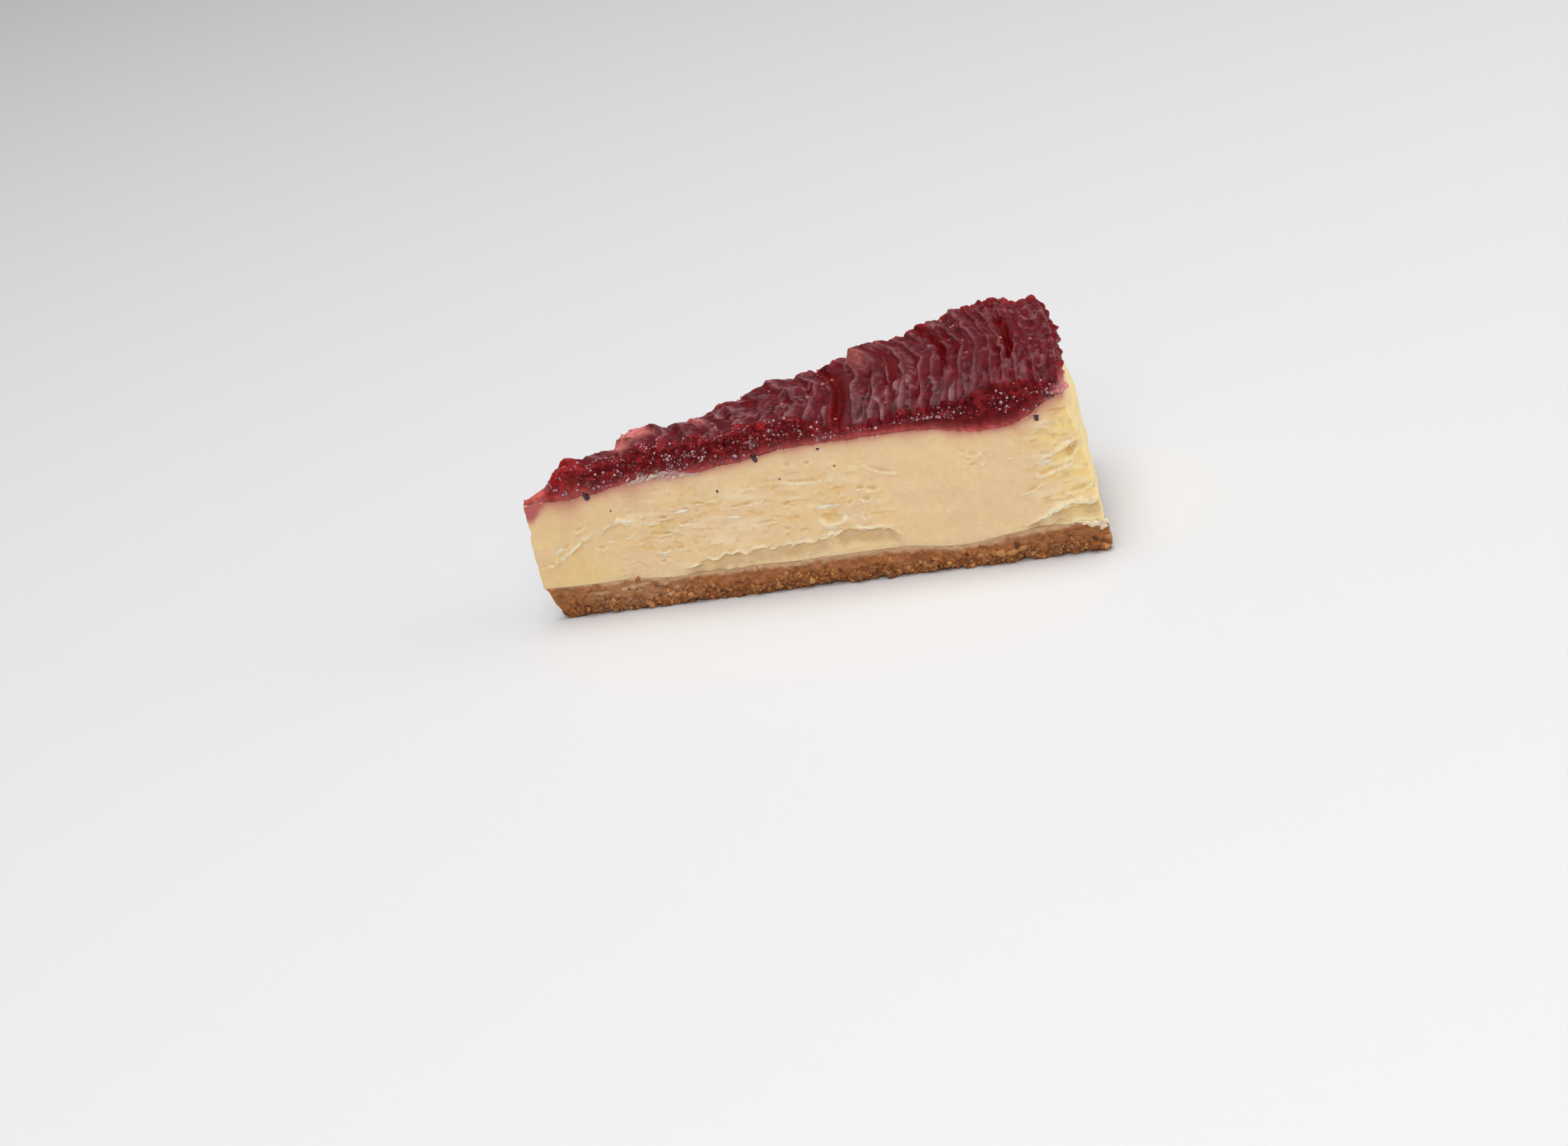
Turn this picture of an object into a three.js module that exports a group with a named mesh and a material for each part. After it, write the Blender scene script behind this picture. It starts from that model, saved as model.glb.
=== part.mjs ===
// A slice of baked ricotta cheesecake: a biscuit base, a ricotta filling and a red berry jelly on top.
//
// The slice is a wedge cut from a round cake. Its tip points to -X, its outer rim to +X, and it stands
// on its biscuit base at Z = 0. Every layer is described in the cake's own terms: a radius from the
// cake's centre, a share of the way across the wedge (0 at the -Y cut, 1 at the +Y cut) and a share
// of the way up the layer. Lengths are in millimetres.

import * as THREE from "three";

const { clamp, degToRad, lerp, smoothstep } = THREE.MathUtils;

// The slice as a whole.
const CAKE_RADIUS = 119.3;
const WEDGE_ANGLE = degToRad(24);
const TIP_TO_ORIGIN = 59.6;
const TIP_RADIUS = -0.9;
const TIP_HALF_WIDTH = 0.8;
const LAYER_GAP = 0.3;
const CORNER_FLARE = 2;

// Biscuit base: a pressed crumb layer, thicker under the tip and the rim, with its tip broken back.
const BASE_THICKNESS = 6.7;
const BASE_RADIUS = CAKE_RADIUS + 0.2;
const BASE_TIP_SET_BACK = 0.4;
const BASE_TIP_UNDERCUT = 3.2;
const BASE_EDGE_ROUND = 0.8;
const BASE_CRAG = 0.5;
const BASE_RIM_LIFT = 0.2;
const BASE_RIM_LIFT_WIDTH = 3;
const BASE_TUCKED_IN = 0.9;

// Ricotta filling: sunk in the middle of the cake, with a lip at the rim that leans inwards.
const FILLING_TIP_HEIGHT = 27.2;
const FILLING_INNER_RISE = 2.2;
const FILLING_OUTER_RISE = 2.6;
const FILLING_RIM_LIP = 3.6;
const FILLING_RELIEF = 0.3;
const FILLING_TIP_LEAN = 0.6;
const WALL_LEAN = 0.6;
const LIP_LEAN = 2.2;

// Berry jelly: combed in rings round the cake's centre, so its top is a row of folds, one behind the
// other. It is smeared thin over the tip, and dragged down along the -Y cut.
const JELLY_TIP_SET_BACK = 0.9;
const JELLY_RIM_INSET = 0.4;
const JELLY_TIP_HEIGHT = 31.5;
const JELLY_CLIMB = 0.098;
const JELLY_RIM_FALL = 2.4;
const SMEAR_START_RADIUS = 0.5;
const SMEAR_END_RADIUS = 8.5;
const SMEAR_DROP = 4.4;
const SMEAR_THICKNESS = 0.9;
const CUT_SLUMP = 4;
const CUT_SLUMP_WIDTH = 12;
const JELLY_SHOULDER = 1.2;
const JELLY_BULGE = 0.4;

// Folds of the jelly: broad near the tip and narrow near the rim, each steep on its tip side.
const FOLD_PITCH_TIP = 6.6;
const FOLD_PITCH_RIM = 3.3;
const FOLD_HEIGHT_TIP = 1.3;
const FOLD_HEIGHT_RIM = 0.8;
const FOLD_STEEP_SHARE = 0.26;
const FOLD_SPIRAL = 3;

// Heaps and hollows where the jelly was spread thicker or thinner than its even climb.
const JELLY_HEAPS = [
  { radius: 11, width: 4.5, height: 1.2 },
  { radius: 28.5, width: 3.2, height: 2.6 },
  { radius: 42, width: 2.8, height: -1.2 },
  { radius: 56.5, width: 2.6, height: 1.0 },
  { radius: 86, width: 3, height: -0.6 },
  { radius: 93.5, width: 3.5, height: 0.5 },
];

// Lobes that the spatula left where it set off again: each steps up at its start and falls to its end.
const JELLY_LOBES = [
  { start: 75.3, end: 88, height: 1.5 },
  { start: 97, end: 105.5, height: 1.4 },
  { start: 105.5, end: 113, height: 1.0 },
];
const LOBE_STEP = 1.2;

// Ledges where the knife tore the filling. Each line is a row of radii and heights, and the face below
// the line is set in by the ledge's depth.
const TORN_LEDGES = [
  { line: [[-1, 11.6], [8, 15.8], [17, 20.4], [24, 21.2]], drop: 5.5, depth: 0.5 },
  { line: [[30, 8], [40, 10.4], [60, 10.6], [66, 12.2], [75, 13], [80, 9]], drop: 4.2, depth: 0.7 },
  { line: [[103, 8], [114, 11.2], [123, 11.8]], drop: 3.8, depth: 0.9 },
  { line: [[108, 21.4], [121, 26.6]], drop: 2.6, depth: 0.5 },
];

const BISCUIT = { color: 0x9a6434, roughness: 0.9, metalness: 0 };
const RICOTTA = { color: 0xe9c99a, roughness: 0.55, metalness: 0 };
const JELLY = { color: 0x7a1420, roughness: 0.22, metalness: 0 };

// A bump of height 1 at the centre that fades out over the width on both sides.
function bump(value, centre, width) {
  return Math.exp(-(((value - centre) / width) ** 2));
}

// A repeatable number from 0 to 1 for a whole-numbered lattice point.
function latticeValue(i, j, k) {
  const mixed = Math.sin(i * 127.1 + j * 311.7 + k * 74.7) * 43758.5453;
  return mixed - Math.floor(mixed);
}

// Smooth noise from -1 to 1, with one lattice cell to a unit of its coordinates.
function noise(x, y, z) {
  const cell = [x, y, z].map(Math.floor);
  const ease = [x, y, z].map((value, axis) => smoothstep(value - cell[axis], 0, 1));
  let sum = 0;
  for (let corner = 0; corner < 8; corner += 1) {
    const step = [corner & 1, (corner >> 1) & 1, corner >> 2];
    const weight = step.reduce((product, on, axis) => product * (on ? ease[axis] : 1 - ease[axis]), 1);
    sum += weight * latticeValue(cell[0] + step[0], cell[1] + step[1], cell[2] + step[2]);
  }
  return 2 * sum - 1;
}

// Half the wedge's width at a radius.
function halfWidth(radius) {
  return TIP_HALF_WIDTH + radius * Math.sin(WEDGE_ANGLE / 2);
}

// A point of the slice. The cut faces stand out by `outAcross` and the wall by `outRadial`, and the
// inside follows them less and less, so that no layer folds over itself.
function slicePoint(radius, across, z, outAcross, outRadial) {
  const side = 2 * across - 1;
  const angle = (side * WEDGE_ANGLE) / 2;
  const reach = radius + outRadial;
  const shift = Math.max(outAcross, -0.4 * halfWidth(radius)) * Math.abs(side) ** 3 * Math.sign(side);
  const x = reach * Math.cos(angle) - shift * Math.sin(angle) * side;
  const y = reach * Math.sin(angle) + side * TIP_HALF_WIDTH + shift;
  return [x - TIP_TO_ORIGIN, y, z];
}

// How far the outer wall leans in at a height: most halfway between the cuts, less at its corners.
function wallLean(across, z) {
  const share = 1 - 0.6 * (2 * across - 1) ** 2;
  return WALL_LEAN * smoothstep(z, 0, 26) + share * LIP_LEAN * smoothstep(z, 26, 35);
}

// How far the wall stands out at the slice's rim corners: most of all low down and at the -Y cut.
function cornerFlare(radius, across, z) {
  const corner = bump(across, 0, 0.12) + 0.6 * bump(across, 1, 0.12);
  return CORNER_FLARE * corner * (1 - smoothstep(z, 10, 34)) * (radius / CAKE_RADIUS) ** 14;
}

// The cut face that a point is nearer to: 0 for -Y and 1 for +Y.
function nearestCut(across) {
  return across < 0.5 ? 0 : 1;
}

// The height of the biscuit's upper face.
function baseTop(radius, across) {
  const thickTip = 0.8 * (1 - smoothstep(radius, 16, 30));
  const pressedIn = 1.4 * bump(radius, 91, 8) * (1 - across);
  const thickRim = 0.5 * smoothstep(radius, 98, 110);
  const uneven = 0.3 * noise(radius / 11, across * 3, 4.5);
  return BASE_THICKNESS + thickTip - pressedIn + thickRim + uneven;
}

// The height of the filling's upper face.
function fillingTop(radius, across) {
  const inner = FILLING_INNER_RISE * smoothstep(radius, 8, 29);
  const outer = FILLING_OUTER_RISE * smoothstep(radius, 34, 66);
  const lip = FILLING_RIM_LIP * smoothstep(radius, 107, 119);
  const dip = 1.9 * bump(radius, 101, 10) * bump(across, 0, 0.15);
  const uneven = 0.25 * noise(radius / 13, across * 2.5, 9.5);
  return FILLING_TIP_HEIGHT + inner + outer + lip - dip + uneven;
}

// How far the underside lifts under the rim: between its two corners, on which the slice stands.
function rimLift(radius, across) {
  const start = BASE_RADIUS - BASE_RIM_LIFT_WIDTH;
  return BASE_RIM_LIFT * smoothstep(radius, start, start + 1) * (1 - (2 * across - 1) ** 8);
}

// The biscuit: crumbly upright faces, a worn lower edge and a broken tip, flat underneath.
function placeBase(radius, across, up) {
  const z = lerp(rimLift(radius, across), baseTop(radius, across), up);
  const cut = nearestCut(across);
  const coarse = noise(radius * 0.62, cut * 9, z * 0.7);
  const fine = noise(radius * 1.3, cut * 17 + 5, z * 1.4);
  const worn = (1 - smoothstep(z, 0, 1.8)) * (0.9 + 0.6 * noise(radius / 3, cut, 7));
  const crag = BASE_CRAG * (coarse + 0.45 * fine) - BASE_EDGE_ROUND * worn;
  const undercut = BASE_TIP_UNDERCUT * (1 - up) * (1 - smoothstep(radius, 0, 10));
  const tucked = BASE_TUCKED_IN * smoothstep(across, 0.02, 0.14);
  const wallCrag = BASE_CRAG * noise(across * 14, 3.5, z * 0.7) - BASE_EDGE_ROUND * worn - tucked;
  const atWall = radius === BASE_RADIUS ? 1 : 0;
  const outRadial = undercut + atWall * wallCrag + cornerFlare(radius, across, z);
  return slicePoint(radius, across, z, crag, outRadial);
}

// The height of a broken line at a radius.
function lineHeight(line, radius) {
  const found = line.findLastIndex(([start]) => start <= radius);
  const n = clamp(found, 0, line.length - 2);
  const [[start, low], [end, high]] = [line[n], line[n + 1]];
  return lerp(low, high, clamp((radius - start) / (end - start), 0, 1));
}

// How far the face below a torn ledge stands back from the cut.
function ledgeSetBack(radius, z, { line, drop, depth }) {
  const [start, end] = [line[0][0], line.at(-1)[0]];
  const torn = lineHeight(line, radius) + 0.5 * noise(radius / 4, 2.5, start) - z;
  const span = smoothstep(radius, start, start + 5) * (1 - smoothstep(radius, end - 4, end));
  const below = smoothstep(torn, 0, 0.8) * (1 - smoothstep(torn, drop / 2, drop));
  return depth * span * below;
}

// The filling: cut faces dragged and torn by the knife, and a wall that leans in under the lip.
function placeFilling(radius, across, up) {
  const z = lerp(baseTop(radius, across) + LAYER_GAP, fillingTop(radius, across), up);
  const cut = nearestCut(across);
  const drag = FILLING_RELIEF * noise(radius / 6, cut * 4 + 1.5, z / 3.2);
  const torn = TORN_LEDGES.reduce((sum, ledge) => sum + ledgeSetBack(radius, z, ledge), 0);
  const atWall = radius === CAKE_RADIUS ? 1 : 0;
  const ripple = atWall * 0.3 * noise(across * 5, z / 2.6, 12.5);
  const lean = wallLean(across, z) * (radius / CAKE_RADIUS) ** 6;
  const tipLean = FILLING_TIP_LEAN * smoothstep(z, 14, 24) * (1 - smoothstep(radius, 0, 8));
  const outRadial = ripple - lean + tipLean + cornerFlare(radius, across, z);
  return slicePoint(radius, across, z, drag - torn, outRadial);
}

// The radii where one fold of the jelly ends and the next begins.
function foldFeet() {
  const feet = [SMEAR_END_RADIUS];
  const end = CAKE_RADIUS - JELLY_RIM_INSET;
  while (feet.at(-1) < end - FOLD_PITCH_RIM * 0.6) {
    const pitch = lerp(FOLD_PITCH_TIP, FOLD_PITCH_RIM, smoothstep(feet.at(-1), 40, 80));
    feet.push(feet.at(-1) + pitch * (0.75 + 0.5 * latticeValue(feet.length, 3, 8)));
  }
  feet[feet.length - 1] = end;
  return feet;
}

const FOLD_FEET = foldFeet();

// The radii that draw the folds with few faces: a foot, a crest and the middle of the back to each.
function foldColumns() {
  const columns = FOLD_FEET.slice(0, -1).flatMap((foot, n) => {
    const pitch = FOLD_FEET[n + 1] - foot;
    return [foot, foot + FOLD_STEEP_SHARE * pitch, foot + 0.64 * pitch];
  });
  return [...columns, FOLD_FEET.at(-1)];
}

// The height of the folds at a radius: each one climbs steeply on its tip side and falls off behind.
function foldHeight(radius, across) {
  const n = FOLD_FEET.findLastIndex((foot) => foot <= radius + 1e-6);
  if (n < 0 || n === FOLD_FEET.length - 1) return 0;
  const share = (radius - FOLD_FEET[n]) / (FOLD_FEET[n + 1] - FOLD_FEET[n]);
  const climb = smoothstep(share, 0, FOLD_STEEP_SHARE);
  const fall = 1 - smoothstep(share, FOLD_STEEP_SHARE, 1);
  const size = lerp(FOLD_HEIGHT_TIP, FOLD_HEIGHT_RIM, smoothstep(radius, 40, 80));
  const uneven = 0.8 + 0.5 * noise(n * 1.7, across * 2.2, 6.5);
  return size * uneven * Math.min(climb, fall);
}

// How much lower the jelly lies towards the -Y cut, where the knife dragged it down.
function cutSlump(radius, insideCut) {
  const width = Math.min(CUT_SLUMP_WIDTH, 0.9 * halfWidth(radius));
  const share = clamp(insideCut / width, 0, 1);
  const along = smoothstep(radius, 60, 72) * (1 - 0.35 * smoothstep(radius, 96, 103));
  return CUT_SLUMP * along * (1 - share) ** 2;
}

// The drop of a rounded edge at a distance inside it.
function edgeDrop(inside, round) {
  const share = clamp(1 - inside / round, 0, 1);
  return round * (1 - Math.sqrt(1 - share * share));
}

// How much higher the jelly is heaped at a radius, most of all towards the +Y cut.
function heapHeight(radius, across) {
  const heapAt = ({ radius: centre, width, height }) => height * bump(radius, centre, width);
  return JELLY_HEAPS.reduce((sum, heap) => sum + heapAt(heap), 0) * (1 + across) / 2;
}

// How much higher the jelly is in its lobes, which fade out towards the -Y cut.
function lobeHeight(radius, across) {
  const lobeAt = ({ start, end, height }) => {
    const climb = smoothstep(radius, start, start + LOBE_STEP);
    const fall = clamp((end - radius) / (end - start - LOBE_STEP), 0, 1);
    return height * Math.min(climb, fall);
  };
  return JELLY_LOBES.reduce((sum, lobe) => sum + lobeAt(lobe), 0) * smoothstep(across, -0.1, 0.5);
}

// The height of the jelly's upper face.
function jellyTop(radius, across) {
  const width = 2 * halfWidth(radius);
  const shoulder = Math.min(JELLY_SHOULDER, width / 4);
  const level = JELLY_TIP_HEIGHT + JELLY_CLIMB * radius;
  const smear = SMEAR_DROP * (1 - smoothstep(radius, SMEAR_START_RADIUS, SMEAR_END_RADIUS));
  const rimFall = JELLY_RIM_FALL * smoothstep(radius, 109, 117);
  const lumps = 0.4 * noise(radius / 7, across * 2.6, 3.5);
  const drop =
    edgeDrop(across * width, shoulder) +
    edgeDrop((1 - across) * width, shoulder) +
    edgeDrop(FOLD_FEET.at(-1) - radius, JELLY_SHOULDER) +
    cutSlump(radius, across * width);
  const body = level - smear - rimFall + lumps - drop;
  const spread = heapHeight(radius, across) + lobeHeight(radius, across);
  return body + spread + foldHeight(radius, across);
}

// The jelly: cut faces and a wall that bulge a little, and a folded top.
function placeJelly(radius, across, up) {
  const end = FOLD_FEET.at(-1);
  const inFolds = smoothstep(radius, 10, 25) * (1 - smoothstep(radius, end - 8, end));
  const reach = radius - FOLD_SPIRAL * (across - 0.5) * inFolds;
  const floor = fillingTop(reach, across) + LAYER_GAP;
  const thin = floor + SMEAR_THICKNESS * (1 - 0.3 * Math.abs(2 * across - 1));
  const z = lerp(floor, Math.max(jellyTop(radius, across), thin), up);
  const belly = JELLY_BULGE * Math.sin(Math.PI * up) * smoothstep(radius, 4, 12);
  const grain = 0.25 * noise(radius / 1.9, nearestCut(across) * 11, z / 1.8) * smoothstep(radius, 4, 12);
  const lean = wallLean(across, floor) * (radius / end) ** 6;
  const wallBelly = radius === end ? 2 * belly + 2 * grain : 0;
  return slicePoint(reach, across, z, belly + grain, wallBelly - lean);
}

// Even steps from one value to another, both included.
function steps(from, to, count) {
  return Array.from({ length: count + 1 }, (_, n) => lerp(from, to, n / count));
}

// Steps from 0 to 1 that are shorter near both ends, where a layer's edges turn.
function easedSteps(count) {
  return steps(0, 1, count).map((share) => 0.5 - 0.5 * Math.cos(Math.PI * share));
}

// Moulds a box, with one face for each cell of the layer's grid, into the layer.
function mouldLayer(radii, across, up, place) {
  const segments = [radii, across, up].map((list) => list.length - 1);
  const geometry = new THREE.BoxGeometry(1, 1, 1, ...segments);
  const position = geometry.getAttribute("position");
  for (let n = 0; n < position.count; n += 1) {
    const i = Math.round((position.getX(n) + 0.5) * segments[0]);
    const j = Math.round((position.getY(n) + 0.5) * segments[1]);
    const k = Math.round((position.getZ(n) + 0.5) * segments[2]);
    position.setXYZ(n, ...place(radii[i], across[j], up[k]));
  }
  geometry.computeVertexNormals();
  return geometry;
}

function layerMesh(name, geometry, look) {
  const mesh = new THREE.Mesh(geometry, new THREE.MeshStandardMaterial(look));
  mesh.name = name;
  return mesh;
}

const baseColumns = steps(TIP_RADIUS + BASE_TIP_SET_BACK, BASE_RADIUS, 68);
const biscuitBase = layerMesh(
  "biscuit_base",
  mouldLayer(baseColumns, steps(0, 1, 6), steps(0, 1, 4), placeBase),
  BISCUIT,
);

const fillingColumns = steps(TIP_RADIUS, CAKE_RADIUS, 56);
const ricottaFilling = layerMesh(
  "ricotta_filling",
  mouldLayer(fillingColumns, steps(0, 1, 6), steps(0, 1, 12), placeFilling),
  RICOTTA,
);

const jellyColumns = [
  ...steps(TIP_RADIUS + JELLY_TIP_SET_BACK, SMEAR_END_RADIUS, 5).slice(0, -1),
  ...foldColumns(),
];
const berryJelly = layerMesh(
  "berry_jelly",
  mouldLayer(jellyColumns, easedSteps(12), steps(0, 1, 3), placeJelly),
  JELLY,
);

const slice = new THREE.Group();
slice.add(biscuitBase, ricottaFilling, berryJelly);

export default slice;
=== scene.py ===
"""Dresses a slice of baked ricotta cheesecake: biscuit base, ricotta filling and red berry jelly.

Every form is worked out in millimetres and in the cake's own terms: a radius from the cake's centre, a
share of the way across the wedge (0 at the -Y cut, 1 at the +Y cut) and a height or a share of the way
up the layer. It turns into metres when a mesh is made.
"""

import logging
import math
from dataclasses import dataclass, field
from enum import Enum

import bmesh
import bpy
import numpy as np
from mathutils import Matrix, Vector


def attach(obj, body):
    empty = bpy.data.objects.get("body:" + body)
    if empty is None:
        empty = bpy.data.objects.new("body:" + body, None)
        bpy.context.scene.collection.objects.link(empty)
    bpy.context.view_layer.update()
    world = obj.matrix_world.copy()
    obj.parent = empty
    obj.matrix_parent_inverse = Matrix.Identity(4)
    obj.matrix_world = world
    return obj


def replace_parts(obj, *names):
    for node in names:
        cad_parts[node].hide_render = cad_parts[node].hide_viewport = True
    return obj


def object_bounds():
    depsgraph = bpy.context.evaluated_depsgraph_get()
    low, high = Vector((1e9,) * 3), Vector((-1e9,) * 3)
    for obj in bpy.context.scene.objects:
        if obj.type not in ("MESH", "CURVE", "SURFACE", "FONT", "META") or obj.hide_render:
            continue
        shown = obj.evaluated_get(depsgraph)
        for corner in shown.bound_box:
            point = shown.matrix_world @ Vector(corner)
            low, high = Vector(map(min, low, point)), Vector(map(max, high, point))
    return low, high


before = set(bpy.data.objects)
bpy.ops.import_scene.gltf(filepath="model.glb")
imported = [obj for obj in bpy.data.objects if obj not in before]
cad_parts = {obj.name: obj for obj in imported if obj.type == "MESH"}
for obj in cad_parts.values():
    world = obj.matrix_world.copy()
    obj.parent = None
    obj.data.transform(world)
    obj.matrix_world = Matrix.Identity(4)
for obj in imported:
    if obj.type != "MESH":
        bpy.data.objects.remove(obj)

Array = np.ndarray
Faces = list[tuple[int, ...]]
Socket = bpy.types.NodeSocket
Tree = bpy.types.NodeTree

CAD_BOX = [list(corner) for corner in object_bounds()]
MM = 0.001
NEAR = 1e-6  # a share or a length this close to a limit counts as at it
log = logging.getLogger("cheesecake")


# Numbers and fields of numbers.


def smooth(value: Array, low: float, high: float) -> Array:
    """Eases a value from 0 at the low end to 1 at the high end.

    Args:
        value: the values to ease.
        low: where the result starts to rise.
        high: where the result reaches 1.

    Returns:
        The eased shares, from 0 to 1.
    """
    share = np.clip((value - low) / (high - low), 0.0, 1.0)
    return share * share * (3.0 - 2.0 * share)


def mix(low: Array, high: Array, share: Array) -> Array:
    """Returns the value that lies that share of the way from low to high."""
    return low + (high - low) * share


def bump(value: Array, centre: float, width: float) -> Array:
    """Returns a bump of height 1 at the centre that fades out over the width on both sides."""
    return np.exp(-(((value - centre) / width) ** 2))


def plateau(value: Array, foot: float, top: float, edge: float, end: float) -> Array:
    """Returns 1 from the top to the edge, eased to 0 at the foot before them and the end after them."""
    return smooth(value, foot, top) * (1 - smooth(value, edge, end))


def lattice(i: Array, j: Array, k: Array) -> Array:
    """Returns a repeatable number from 0 to 1 for each whole-numbered lattice point."""
    mixed = np.sin(i * 127.1 + j * 311.7 + k * 74.7) * 43758.5453
    return mixed - np.floor(mixed)


def noise(x: Array, y: Array, z: Array) -> Array:
    """Makes smooth noise with one lattice cell to a unit of its coordinates.

    Args:
        x: first coordinate.
        y: second coordinate.
        z: third coordinate.

    Returns:
        Values from -1 to 1.
    """
    place = np.broadcast_arrays(*(np.asarray(c, float) for c in (x, y, z)))
    cell = [np.floor(c) for c in place]
    ease = [smooth(c - whole, 0.0, 1.0) for c, whole in zip(place, cell)]
    total = np.zeros(place[0].shape)
    for corner in range(8):
        step = (corner & 1, (corner >> 1) & 1, corner >> 2)
        weight = np.ones(place[0].shape)
        for on, share in zip(step, ease):
            weight = weight * (share if on else 1.0 - share)
        total += weight * lattice(*(whole + on for whole, on in zip(cell, step)))
    return 2.0 * total - 1.0


def cells(x: Array, y: Array, seed: float) -> tuple[Array, Array, Array]:
    """Scatters one point in each unit cell of a plane and measures how near they are.

    Args:
        x: first coordinate.
        y: second coordinate.
        seed: picks the scatter.

    Returns:
        The distance to the nearest point, the distance to the next one, and a number from 0 to 1 that
        belongs to the nearest point.
    """
    x, y = np.broadcast_arrays(np.asarray(x, float), np.asarray(y, float))
    home_x, home_y = np.floor(x), np.floor(y)
    first = np.full(x.shape, 9.0)
    second = np.full(x.shape, 9.0)
    tag = np.zeros(x.shape)
    for step in range(9):
        cell_x, cell_y = home_x + step % 3 - 1, home_y + step // 3 - 1
        across = x - cell_x - lattice(cell_x, cell_y, seed)
        along = y - cell_y - lattice(cell_x, cell_y, seed + 17.0)
        gap = np.hypot(across, along)
        nearer = gap < first
        second = np.where(nearer, first, np.minimum(second, gap))
        tag = np.where(nearer, lattice(cell_x, cell_y, seed + 31.0), tag)
        first = np.minimum(first, gap)
    return first, second, tag


def linear(colour: str) -> tuple[float, float, float, float]:
    """Turns an sRGB hex colour into the linear colour that Blender's sockets take.

    Args:
        colour: the colour as #RRGGBB.

    Returns:
        Red, green, blue and an alpha of 1.
    """
    parts = [int(colour[n : n + 2], 16) / 255.0 for n in (1, 3, 5)]
    turned = [p / 12.92 if p <= 0.04045 else ((p + 0.055) / 1.055) ** 2.4 for p in parts]
    return (*turned, 1.0)


def per_mm(size: float) -> float:
    """Returns the texture scale that makes one cell of a pattern the given size in millimetres."""
    return 1.0 / (size * MM)


# Meshes and node trees.


class Slot(Enum):
    """The record's material slots."""

    BISCUIT = "biscuit"
    RICOTTA = "ricotta"
    JELLY = "jelly"


class Cut(Enum):
    """The two faces that the knife left, by their share of the way across the wedge."""

    FRONT = 0
    BACK = 1


def add_node(
    tree: Tree, kind: str, settings: dict | None = None, inputs: dict | None = None
) -> bpy.types.Node:
    """Adds a node with its settings and links.

    Args:
        tree: the node tree that gets the node.
        kind: the node's type, without the leading ShaderNode.
        settings: values for the node's own properties, by name.
        inputs: for each input, by name or number, a value or the output socket that feeds it.

    Returns:
        The new node.
    """
    node = tree.nodes.new("ShaderNode" + kind)
    for name, value in (settings or {}).items():
        setattr(node, name, value)
    for name, value in (inputs or {}).items():
        if isinstance(value, Socket):
            tree.links.new(value, node.inputs[name])
        else:
            node.inputs[name].default_value = value
    return node


def new_material(name: str) -> bpy.types.Material:
    """Starts a node material.

    Args:
        name: the material's name.

    Returns:
        The material, without nodes.
    """
    material = bpy.data.materials.new(name)
    material.use_nodes = True
    material.node_tree.nodes.clear()
    return material


def add_piece(
    name: str,
    points: Array,
    faces: Faces,
    material: bpy.types.Material,
    marks: dict[str, Array] | None = None,
) -> bpy.types.Object:
    """Makes a smooth mesh object that rides with the slice.

    Args:
        name: the piece's name.
        points: its points in millimetres, one row each. None is left outside the part's box.
        faces: its faces, as tuples of point numbers.
        material: its finish.
        marks: numbers from 0 to 1 for each point, which the finish reads by name.

    Returns:
        The new object.
    """
    low, high = (np.array(corner) / MM for corner in CAD_BOX)
    mesh = bpy.data.meshes.new(name)
    mesh.from_pydata((np.clip(points, low, high) * MM).tolist(), [], faces)
    for mark, values in (marks or {}).items():
        layer = mesh.attributes.new(mark, "FLOAT", "POINT")
        layer.data.foreach_set("value", np.ascontiguousarray(values, dtype=np.float32))
    mesh.materials.append(material)
    mesh.shade_smooth()
    piece = bpy.data.objects.new(name, mesh)
    bpy.context.scene.collection.objects.link(piece)
    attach(piece, "root")
    log.info("%s: %d points, %d faces", name, len(points), len(faces))
    return piece


# The wedge and the grids that its layers are moulded from.


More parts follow.
